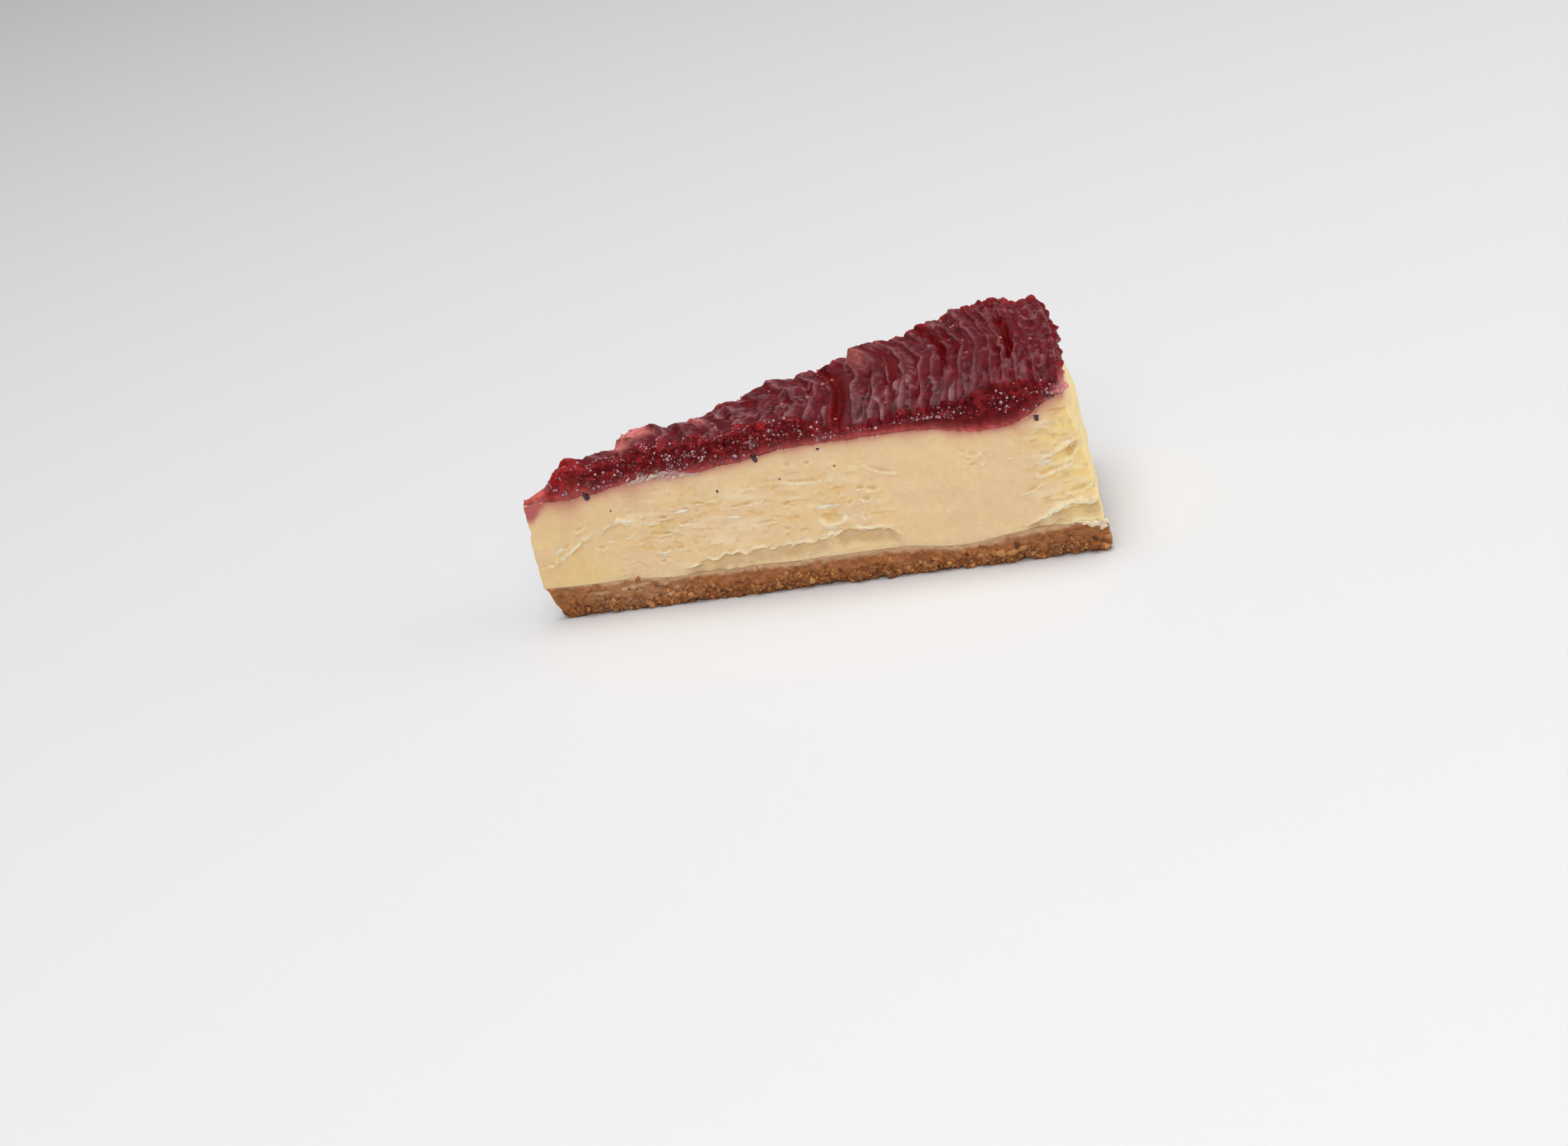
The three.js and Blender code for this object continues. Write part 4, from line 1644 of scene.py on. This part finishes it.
        wall = wall + 0.2 * noise(across * 60, z / 0.8, 1.1)
        lean = self.wedge.lean(across, floor) * (radius / self.end) ** 6
        points = self.wedge.point(reach, across, z, belly + grain + seedy, at_rim * wall - lean)
        filmed = plateau(radius, 22, 26, 36, 40) * (cut < 0.5) * on_edge
        patchy = smooth(noise(radius / 1.8, cut, z / 0.9), -0.1, 0.5)
        frayed = radius + 1.6 * noise(radius / 1.5, width / 1.5, 22.5)
        lobe_glow = plateau(frayed, 18, 22, 27, 30.5) * (0.65 + 0.5 * spot_shade)
        lobe_glow = lobe_glow + 0.5 * bump(radius, 39.5, 1.2) + 0.35 * bump(radius, 76, 1.5)
        soaked = 0.6 * np.exp(-above / 1.6) * on_edge * smooth(radius, 10, 30)
        corner = smooth(radius, 115.5, 118.5) * (1 - smooth(across, 0.05, 0.25))
        fade = 1.15 * (1 + bump(radius, 11, 5) + 1.6 * corner)
        faded = 0.85 * np.exp(-((above / fade) ** 1.5)) * on_edge * smooth(radius, 4, 9)
        # A painted glow along the back cut's edge, as if lit from behind, laid in the juice colour.
        lit_edge = 0.6 * smooth(across, 0.9, 0.985) * smooth(noise(radius / 1.6, z / 1.2, 17.5), -0.5, 0.4)
        tip_smear = 1 - smooth(radius + 1.2 * noise(radius / 1.4, across * 4, z / 1.2), 3.5, 7.0)
        knife_film = 0.7 * filmed * patchy * (1 - smooth(above, 0.8, 2.4))
        marks = {
            "gap": np.where(upper, np.maximum(gap * (1 - grainy), 0.6 * grainy), 0.65) * thick,
            "pip": grainy * 0.75 * smooth(np.where(on_edge, shade, spot_shade), 0.55, 0.8),
            # Painted pale sheen on the crests and the spatula's lines.
            "crest": np.where(upper, 0.6 * crest * (1 - grainy), 0.0) * thick,
            # Juice soaked at the lower edge and over the tip, plus the painted backlit glow of lit_edge.
            "juice": np.clip(soaked + lit_edge + 0.85 * (1 - smooth(radius, 9, 16)), 0, 1),
            "smear": np.maximum(faded, tip_smear),
            # Painted glow of thin lobes along the back.
            "glow": np.clip(0.85 * lobe_glow, 0, 1) * smooth(across, 0.5, 0.78) * smooth(above, 2.0, 4.0),
            "film": np.maximum(knife_film, 0.4 * corner * (1 - smooth(above, 1, 3))),
        }
        return points, marks

    def build(self) -> bpy.types.Object:
        """Builds the layer, which stands for the part's jelly.

        Returns:
            The layer.
        """
        radii = spread(self.wedge.tip_radius + self.tip_set_back, self.end, self.steps[0])
        columns, rows = spread(0, 1, self.steps[1], ease=0.5), spread(0, 1, self.steps[2], ease=0.3)
        shell = ShellGrid(radii, columns, rows, fine_top=True).weave()
        points, marks = self.place(shell.radius, shell.across, shell.up)
        finish = self.finish.material()
        piece = add_piece("berry_jelly_layer", points, shell.faces, finish, marks)
        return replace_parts(piece, "berry_jelly")


# Small things on the layers.


@dataclass
class BiscuitCrumbs:
    """Crumbs that stand out of the base's coarse lower half, and the larger chunks among them.

    A chunk is given by its distance along the cut, its height, its half length and its half height.
    """

    base: BiscuitBase
    count: int = 2600
    smallest: float = 0.22
    largest: float = 0.8
    seed: int = 11
    chunks: tuple[tuple[float, float, float, float], ...] = (
        (98.4, 2.2, 1.2, 0.8),
        (100.6, 2.7, 1.5, 0.6),
        (103.0, 2.5, 1.2, 0.6),
        (105.0, 1.6, 0.7, 0.6),
        (8.6, 3.8, 1.6, 1.3),
        (16.8, 2.2, 0.8, 0.7),
        (20.4, 7.4, 0.5, 0.6),
        (33.1, 2.0, 1.1, 0.8),
        (48.9, 2.1, 0.7, 0.5),
        (94.5, 2.7, 0.9, 0.6),
    )
    finish: SmallPiece = SmallPiece("toasted_biscuit_grain", "#7E4A28", "#C88E54", 0.8, through_mm=0.4)

    def build(self) -> bpy.types.Object:
        """Builds the crumbs.

        Returns:
            All of them, as one piece.
        """
        rng = np.random.default_rng(self.seed)
        wedge = self.base.wedge
        faces = np.stack([wedge.axes(Cut.FRONT), wedge.axes(Cut.BACK), np.eye(3)[[1, 0, 2]]])
        face = rng.choice(3, self.count, p=(0.4, 0.4, 0.2))
        radius = np.where(face == 2, self.base.radius, rng.uniform(0.5, self.base.radius - 0.3, self.count))
        across = np.where(face == 2, rng.random(self.count), face)
        points, marks = self.base.place(radius, across, rng.beta(1.1, 1.9, self.count))
        kept = (marks["grit"] > 0.5) | (rng.random(self.count) < 0.12)
        size = mix(self.smallest, self.largest, rng.random(self.count) ** 2.6)
        centres = points - faces[face][:, 1] * size[:, None] * 0.45
        centres[:, 2] = np.maximum(centres[:, 2], size * 0.9)
        axes = turned(faces[face], rng.uniform(0, math.pi, self.count))
        sizes = size[:, None] * rng.uniform(0.75, 1.25, (self.count, 3))
        lumps = Lumps(level=2, ragged=0.35)
        lumps.add(centres[kept], axes[kept], sizes[kept], rng.random(kept.sum()) ** 1.5)
        along, z, length, height = np.array(self.chunks).T
        for cut in Cut:
            across = np.full(along.shape, float(cut.value))
            points, _ = self.base.place(along, across, np.clip(z / self.base.top(along, across), 0, 1))
            sizes = half_sizes(length, 0.5 + 0.4 * (along < 40), height)
            axes = turned(wedge.axes(cut), 0.4 * np.sin(3 * along))
            lumps.add(points, axes, sizes, 0.3 + 0.5 * (along > 80))
        return lumps.build("biscuit_grains", self.finish, Slot.BISCUIT)


@dataclass
class CreamShreds:
    """Curls of cream that the knife rolled up: along the ledges, and loose on the cut faces.

    A curl is given by its distance along the cut, its height, its half length and its tilt.
    """

    filling: RicottaFilling
    ledge_step: float = 1.6
    loose: int = 46
    seed: int = 23
    # The back cut gets the same curls in reverse, this far along it less their place on the front cut.
    back_from: float = 118.0
    curls: tuple[tuple[float, float, float, float], ...] = (
        (33.5, 21.3, 1.5, 0.1),
        (44.4, 18.3, 1.5, -0.1),
        (27.4, 11.8, 0.9, -0.9),
        (64.0, 18.0, 1.7, 0.1),
        (64.6, 13.2, 1.5, -0.1),
        (4.7, 15.7, 1.2, 0.6),
        (111.4, 21.4, 1.4, 0.2),
        (118.2, 24.6, 1.3, 0.9),
        (89.4, 13.2, 0.7, 0.0),
    )
    finish: SmallPiece = SmallPiece("torn_ricotta_shred", "#EFD3A4", "#FBEFD6", 0.5, through_mm=1.2)

    def _lay(self, lumps: Lumps, cut: Cut, rows: Array) -> None:
        """Lays curls on a cut face.

        Args:
            lumps: the lumps that the curls join.
            cut: the face they lie on.
            rows: for each curl its distance from the tip, height, half length, half height and tilt.
        """
        along, z, length, height, tilt = np.asarray(rows, float).T
        across = np.full(along.shape, float(cut.value))
        up = np.clip(self.filling.share_up(along, across, z), 0.01, 0.99)
        points, _ = self.filling.place(along, across, up)
        face = self.filling.wedge.axes(cut)
        sizes = half_sizes(length, 0.16, height)
        lumps.add(points + face[1] * 0.02, turned(face, tilt), sizes, 0.5 + 0.5 * np.sin(along * 7))

    def build(self) -> bpy.types.Object:
        """Builds the curls.

        Returns:
            All of them, as one piece.
        """
        rng = np.random.default_rng(self.seed)
        lumps = Lumps(level=3, ragged=0.45)
        self._lay(lumps, Cut.FRONT, [(along, z, size, 0.32, tilt) for along, z, size, tilt in self.curls])
        turned_over = [
            (self.back_from - along, min(z + 1.5, 27), size, 0.3, -tilt)
            for along, z, size, tilt in self.curls
        ]
        self._lay(lumps, Cut.BACK, turned_over)
        for ledge in self.filling.ledges:
            along = np.arange(ledge.knots[0][0] + 2, min(ledge.knots[-1][0], 120) - 2, self.ledge_step)
            along = along[rng.random(len(along)) < 0.55]
            z = ledge.line(along) + rng.uniform(0.1, 0.4, len(along))
            length, height = rng.uniform(0.5, 1.2, len(along)), rng.uniform(0.12, 0.24, len(along))
            slope = ledge.line(along + 0.5) - ledge.line(along - 0.5)
            tilt = np.arctan(slope) + rng.uniform(-0.3, 0.3, len(along))
            self._lay(lumps, Cut.FRONT, np.stack([along, z, length, height, tilt], axis=1))
        low, high = np.array([8, 9, 0.25, 0.08, -0.4]), np.array([116, 25, 0.7, 0.16, 0.4])
        for cut in Cut:
            self._lay(lumps, cut, rng.uniform(low, high, (self.loose // 2, 5)))
        return lumps.build("cream_shreds", self.finish, Slot.RICOTTA)


@dataclass
class BerrySkin:
    """Dark flecks of berry skin at the jelly's lower edge, and specks in the filling.

    A fleck is given by its distance along the cut, its height, its half width and its half height.
    """

    filling: RicottaFilling
    flecks: tuple[tuple[float, float, float, float], ...] = (
        (13.9, 27.6, 0.65, 1.0),
        (51.9, 30.9, 0.5, 1.3),
        (112.6, 31.4, 0.6, 1.2),
        (65.6, 30.9, 0.4, 0.22),
        (42.4, 24.6, 0.26, 0.3),
        (18.4, 23.5, 0.18, 0.22),
        (68.3, 26.7, 0.2, 0.16),
        (56.2, 25.4, 0.16, 0.2),
    )
    # The back cut gets them in reverse, this far along it less their place on the front cut.
    back_from: float = 121.0
    finish: SmallPiece = SmallPiece("wet_berry_skin", "#2A0814", "#5A1022", 0.25, through_mm=0.3, coat=0.4)

    def build(self) -> bpy.types.Object:
        """Builds the flecks of both cuts.

        Returns:
            All of them, as one piece.
        """
        lumps = Lumps(level=3, ragged=0.4)
        along, z, width, height = np.array(self.flecks).T
        sizes = half_sizes(width, 0.3, height)
        for cut in Cut:
            radius = along if cut is Cut.FRONT else self.back_from - along
            across = np.full(along.shape, float(cut.value))
            level = z if cut is Cut.FRONT else self.filling.seam(radius, across) - 0.7 * height
            up = np.clip(self.filling.share_up(radius, across, level), 0, 1)
            points, _ = self.filling.place(radius, across, up)
            axes = turned(self.filling.wedge.axes(cut), 0.3 * np.sin(along))
            lumps.add(points, axes, sizes, 0.2 + 0.1 * height)
        return lumps.build("berry_skin_flecks", self.finish, Slot.JELLY)


@dataclass
class JellyBits:
    """Seeds on the jelly, and wet beads where its grain shows, many of them painted pale pink as glints."""

    jelly: BerryJelly
    seeds: int = 20
    beads: int = 17000
    most_beads: int = 4700
    smallest_bead: float = 0.12
    largest_bead: float = 0.42
    strip: float = 5.0
    seed: int = 37
    seed_finish: SmallPiece = SmallPiece("berry_seed", "#8E2622", "#BE6A58", 0.3, through_mm=0.8, coat=0.5)
    # The light tone paints glints: the pale pink beads stand in for sparkle.
    bead_finish: SmallPiece = SmallPiece(
        "jelly_bead_painted_glint", "#641018", "#CFA2AC", 0.12, through_mm=0.4, coat=0.6
    )

    def build_seeds(self) -> bpy.types.Object:
        """Builds the seeds.

        Returns:
            All of them, as one piece.
        """
        rng = np.random.default_rng(self.seed)
        radius = np.sqrt(rng.uniform(30**2, 114**2, self.seeds))
        points, _ = self.jelly.place(radius, rng.uniform(0.08, 0.95, self.seeds), np.ones(self.seeds))
        axes = turned(np.eye(3)[[0, 2, 1]], rng.uniform(0, math.pi, self.seeds))
        sizes = np.array([0.5, 0.35, 0.4]) * rng.uniform(0.7, 1.1, (self.seeds, 1))
        lumps = Lumps(level=3, ragged=0.1)
        lumps.add(points, axes, sizes, rng.random(self.seeds))
        return lumps.build("berry_seeds", self.seed_finish, Slot.JELLY)

    def build_beads(self) -> bpy.types.Object:
        """Builds the beads.

        Returns:
            All of them, as one piece.
        """
        rng = np.random.default_rng(self.seed + 1)
        wedge = self.jelly.wedge
        face = rng.choice(4, self.beads, p=(0.3, 0.3, 0.2, 0.2))
        radius = rng.uniform(5, 118, self.beads)
        share = rng.random(self.beads)
        inside = self.strip * rng.random(self.beads) / (2 * wedge.half_width(radius))
        across = np.choose(face, [0 * share, 0 * share + 1, inside, 1 - inside])
        up = np.where(face < 2, share, 1.0)
        points, _ = self.jelly.place(radius, across, up)
        width = 2 * wedge.half_width(radius) * across
        floor = self.jelly.filling.seam(radius, across)
        shown = self.jelly.grainy(radius, across, points[:, 2] - floor)
        clump = 0.5 + 0.55 * noise(radius / 1.9, width / 1.9, points[:, 2] / 1.9)
        sparse = 1 - 0.35 * smooth(radius, 56, 76) - 0.4 * (1 - smooth(radius, 8, 22))
        sparse = sparse - 0.15 * bump(radius, 50, 12)
        kept = rng.random(self.beads) < shown * (0.1 + clump**3) * sparse
        kept = np.flatnonzero(kept)[: self.most_beads]
        out = np.stack([wedge.axes(Cut.FRONT)[1], wedge.axes(Cut.BACK)[1], [0, 0, 1], [0, 0, 1]])[face[kept]]
        size = mix(self.smallest_bead, self.largest_bead, rng.random(len(kept)) ** 3.0)
        # Pale tones are painted glints; the rest stay dark red.
        tones = np.clip(rng.random(len(kept)) * 1.35 - 0.35, 0, 1) ** 1.1 * (0.5 + 0.5 * sparse[kept])
        lumps = Lumps(level=1, ragged=0.1)
        lumps.add(
            points[kept] + out * size[:, None] * 0.3,
            np.eye(3),
            size[:, None] * rng.uniform(0.85, 1.15, (len(kept), 3)),
            tones,
        )
        return lumps.build("jelly_beads", self.bead_finish, Slot.JELLY)


@dataclass
class CreamSmear:
    """Cream that the knife dragged up over the jelly's lower edge, and cream left on the base's end.

    What is left on the base is given by its distance along the cut, its share of the way up, its half
    length and half height, and its tilt.
    """

    filling: RicottaFilling
    base: BiscuitBase
    on_base: tuple[tuple[float, float, float, float, float], ...] = (
        (115.9, 0.99, 1.0, 0.35, 0.1),
        (117.2, 0.95, 1.3, 0.6, 0.1),
        (118.5, 0.84, 0.9, 1.0, 0.5),
        (119.0, 0.95, 0.9, 0.6, 0.2),
    )
    start: float = 23.8
    end: float = 38.6
    step: float = 0.55
    seed: int = 51
    finish: SmallPiece = SmallPiece("dragged_cream", "#C99C96", "#F0D6B8", 0.45, through_mm=1.0)

    def build(self) -> bpy.types.Object:
        """Builds the smears.

        Returns:
            All of them, as one piece.
        """
        rng = np.random.default_rng(self.seed)
        lumps = Lumps(level=3, ragged=0.45)
        axes = self.filling.wedge.axes(Cut.FRONT)
        along = np.arange(self.start, self.end, self.step)
        count = len(along)
        points, _ = self.filling.place(along, np.zeros(count), np.ones(count))
        points[:, 2] += rng.uniform(-0.5, 0.7, count)
        sizes = half_sizes(rng.uniform(0.5, 1.3, count), 0.14, rng.uniform(0.16, 0.45, count))
        tilts = rng.uniform(0.0, 0.9, count)
        lumps.add(points + axes[1] * 0.08, turned(axes, tilts), sizes, rng.random(count) ** 1.3)
        left = np.array(self.on_base)
        points, _ = self.base.place(left[:, 0], np.zeros(len(left)), left[:, 1])
        sizes = half_sizes(left[:, 2], 0.25, left[:, 3])
        lumps.add(points + axes[1] * 0.05, turned(axes, left[:, 4]), sizes, np.ones(len(left)))
        return lumps.build("cream_smears", self.finish, Slot.RICOTTA)


# The studio.


@dataclass(frozen=True)
class Softbox:
    """A large soft light that points at the slice, in metres and watts."""

    name: str
    place: tuple[float, float, float]
    size: float
    power: float

    def build(self) -> None:
        """Hangs the light."""
        lamp = bpy.data.lights.new(self.name, "AREA")
        lamp.shape, lamp.size, lamp.energy = "SQUARE", self.size, self.power
        holder = bpy.data.objects.new(self.name, lamp)
        holder.location = self.place
        holder.rotation_euler = (-Vector(self.place)).to_track_quat("-Z", "Y").to_euler()
        bpy.context.scene.collection.objects.link(holder)


@dataclass(frozen=True)
class Studio:
    """The plain pale floor, the soft lights and the camera at the photograph's angle."""

    floor_size: float = 12.0
    floor_level: float = -0.00005
    floor_colour: str = "#D8D8D9"
    floor_roughness: float = 0.6
    sky_colour: str = "#FFFFFF"
    sky_low: float = 0.12
    sky_high: float = 0.55
    sky_rise: tuple[float, float] = (0.2, 0.9)
    softboxes: tuple[Softbox, ...] = (
        Softbox("key_softbox", (0.0, -1.2, 0.95), 0.9, 9.0),
        Softbox("top_softbox", (0.0, 0.0, 1.4), 1.0, 12.0),
        Softbox("side_softbox", (1.2, -0.1, 0.6), 0.7, 5.0),
    )
    sensor_mm: float = 36.0
    frame_width: float = 2260.0
    focal_pixels: float = 4305.0
    azimuth: float = math.radians(5.07)
    elevation: float = math.radians(22.5)
    roll: float = math.radians(13.95)
    distance: float = 586.14
    target: tuple[float, float, float] = (-5.21, -49.40, 20.0)

    def build_floor(self) -> None:
        """Lays the floor just under the slice."""
        half = self.floor_size / 2
        mesh = bpy.data.meshes.new("studio_floor")
        corners = [(x * half, y * half, self.floor_level) for x, y in ((-1, -1), (1, -1), (1, 1), (-1, 1))]
        mesh.from_pydata(corners, [], [(0, 1, 2, 3)])
        board = {"Base Color": linear(self.floor_colour), "Roughness": self.floor_roughness}
        mesh.materials.append(close_material(new_material("matt_studio_board"), board))
        floor = bpy.data.objects.new("studio_floor", mesh)
        bpy.context.scene.collection.objects.link(floor)

    def build_sky(self) -> None:
        """Surrounds the slice with a soft light, dim near the floor so that the wet jelly stays dark."""
        world = bpy.data.worlds.new("studio_sky")
        world.use_nodes = True
        world.node_tree.nodes.clear()
        ray = add_node(world.node_tree, "TexCoord").outputs["Generated"]
        rise = add_node(world.node_tree, "SeparateXYZ", {}, {0: ray}).outputs["Z"]
        low, high = self.sky_rise
        ends = {"From Min": low, "From Max": high, "To Min": self.sky_low, "To Max": self.sky_high}
        strength = add_node(world.node_tree, "MapRange", EASED, {"Value": rise, **ends}).outputs[0]
        light = {"Color": linear(self.sky_colour), "Strength": strength}
        glow = add_node(world.node_tree, "Background", {}, light)
        add_node(world.node_tree, "OutputWorld", {}, {"Surface": glow.outputs[0]})
        bpy.context.scene.world = world

    def build_camera(self) -> None:
        """Sets up the camera, turned so that the slice climbs to the right as in the photograph."""
        across, ahead = math.sin(self.azimuth), math.cos(self.azimuth)
        flat, upright = math.cos(self.elevation), math.sin(self.elevation)
        back = Vector((across * flat, -ahead * flat, upright))
        level = Vector((ahead, across, 0.0))
        rise = back.cross(level)
        x = level * math.cos(self.roll) - rise * math.sin(self.roll)
        y = level * math.sin(self.roll) + rise * math.cos(self.roll)
        place = (Vector(self.target) + back * self.distance) * MM
        lens = bpy.data.cameras.new("camera")
        lens.sensor_fit = "HORIZONTAL"
        lens.sensor_width = self.sensor_mm
        lens.lens = self.sensor_mm * self.focal_pixels / self.frame_width
        lens.clip_start, lens.clip_end = 0.01, 100.0
        camera = bpy.data.objects.new("camera", lens)
        camera.matrix_world = Matrix.Translation(place) @ Matrix((x, y, back)).transposed().to_4x4()
        bpy.context.scene.collection.objects.link(camera)
        bpy.context.scene.camera = camera

    def build(self) -> None:
        """Builds the whole studio."""
        self.build_floor()
        self.build_sky()
        for softbox in self.softboxes:
            softbox.build()
        self.build_camera()
        bpy.context.scene.view_settings.view_transform = "Standard"


def main() -> None:
    """Builds the slice from its base up, then its small pieces and the studio."""
    logging.basicConfig(level=logging.INFO, format="%(message)s")
    wedge = Wedge()
    base = BiscuitBase(wedge)
    filling = RicottaFilling(wedge, base)
    jelly = BerryJelly(wedge, filling)
    bits = JellyBits(jelly)
    base.build()
    filling.build()
    jelly.build()
    BiscuitCrumbs(base).build()
    CreamShreds(filling).build()
    CreamSmear(filling, base).build()
    BerrySkin(filling).build()
    bits.build_seeds()
    bits.build_beads()
    Studio().build()


if __name__ == "__main__":
    main()
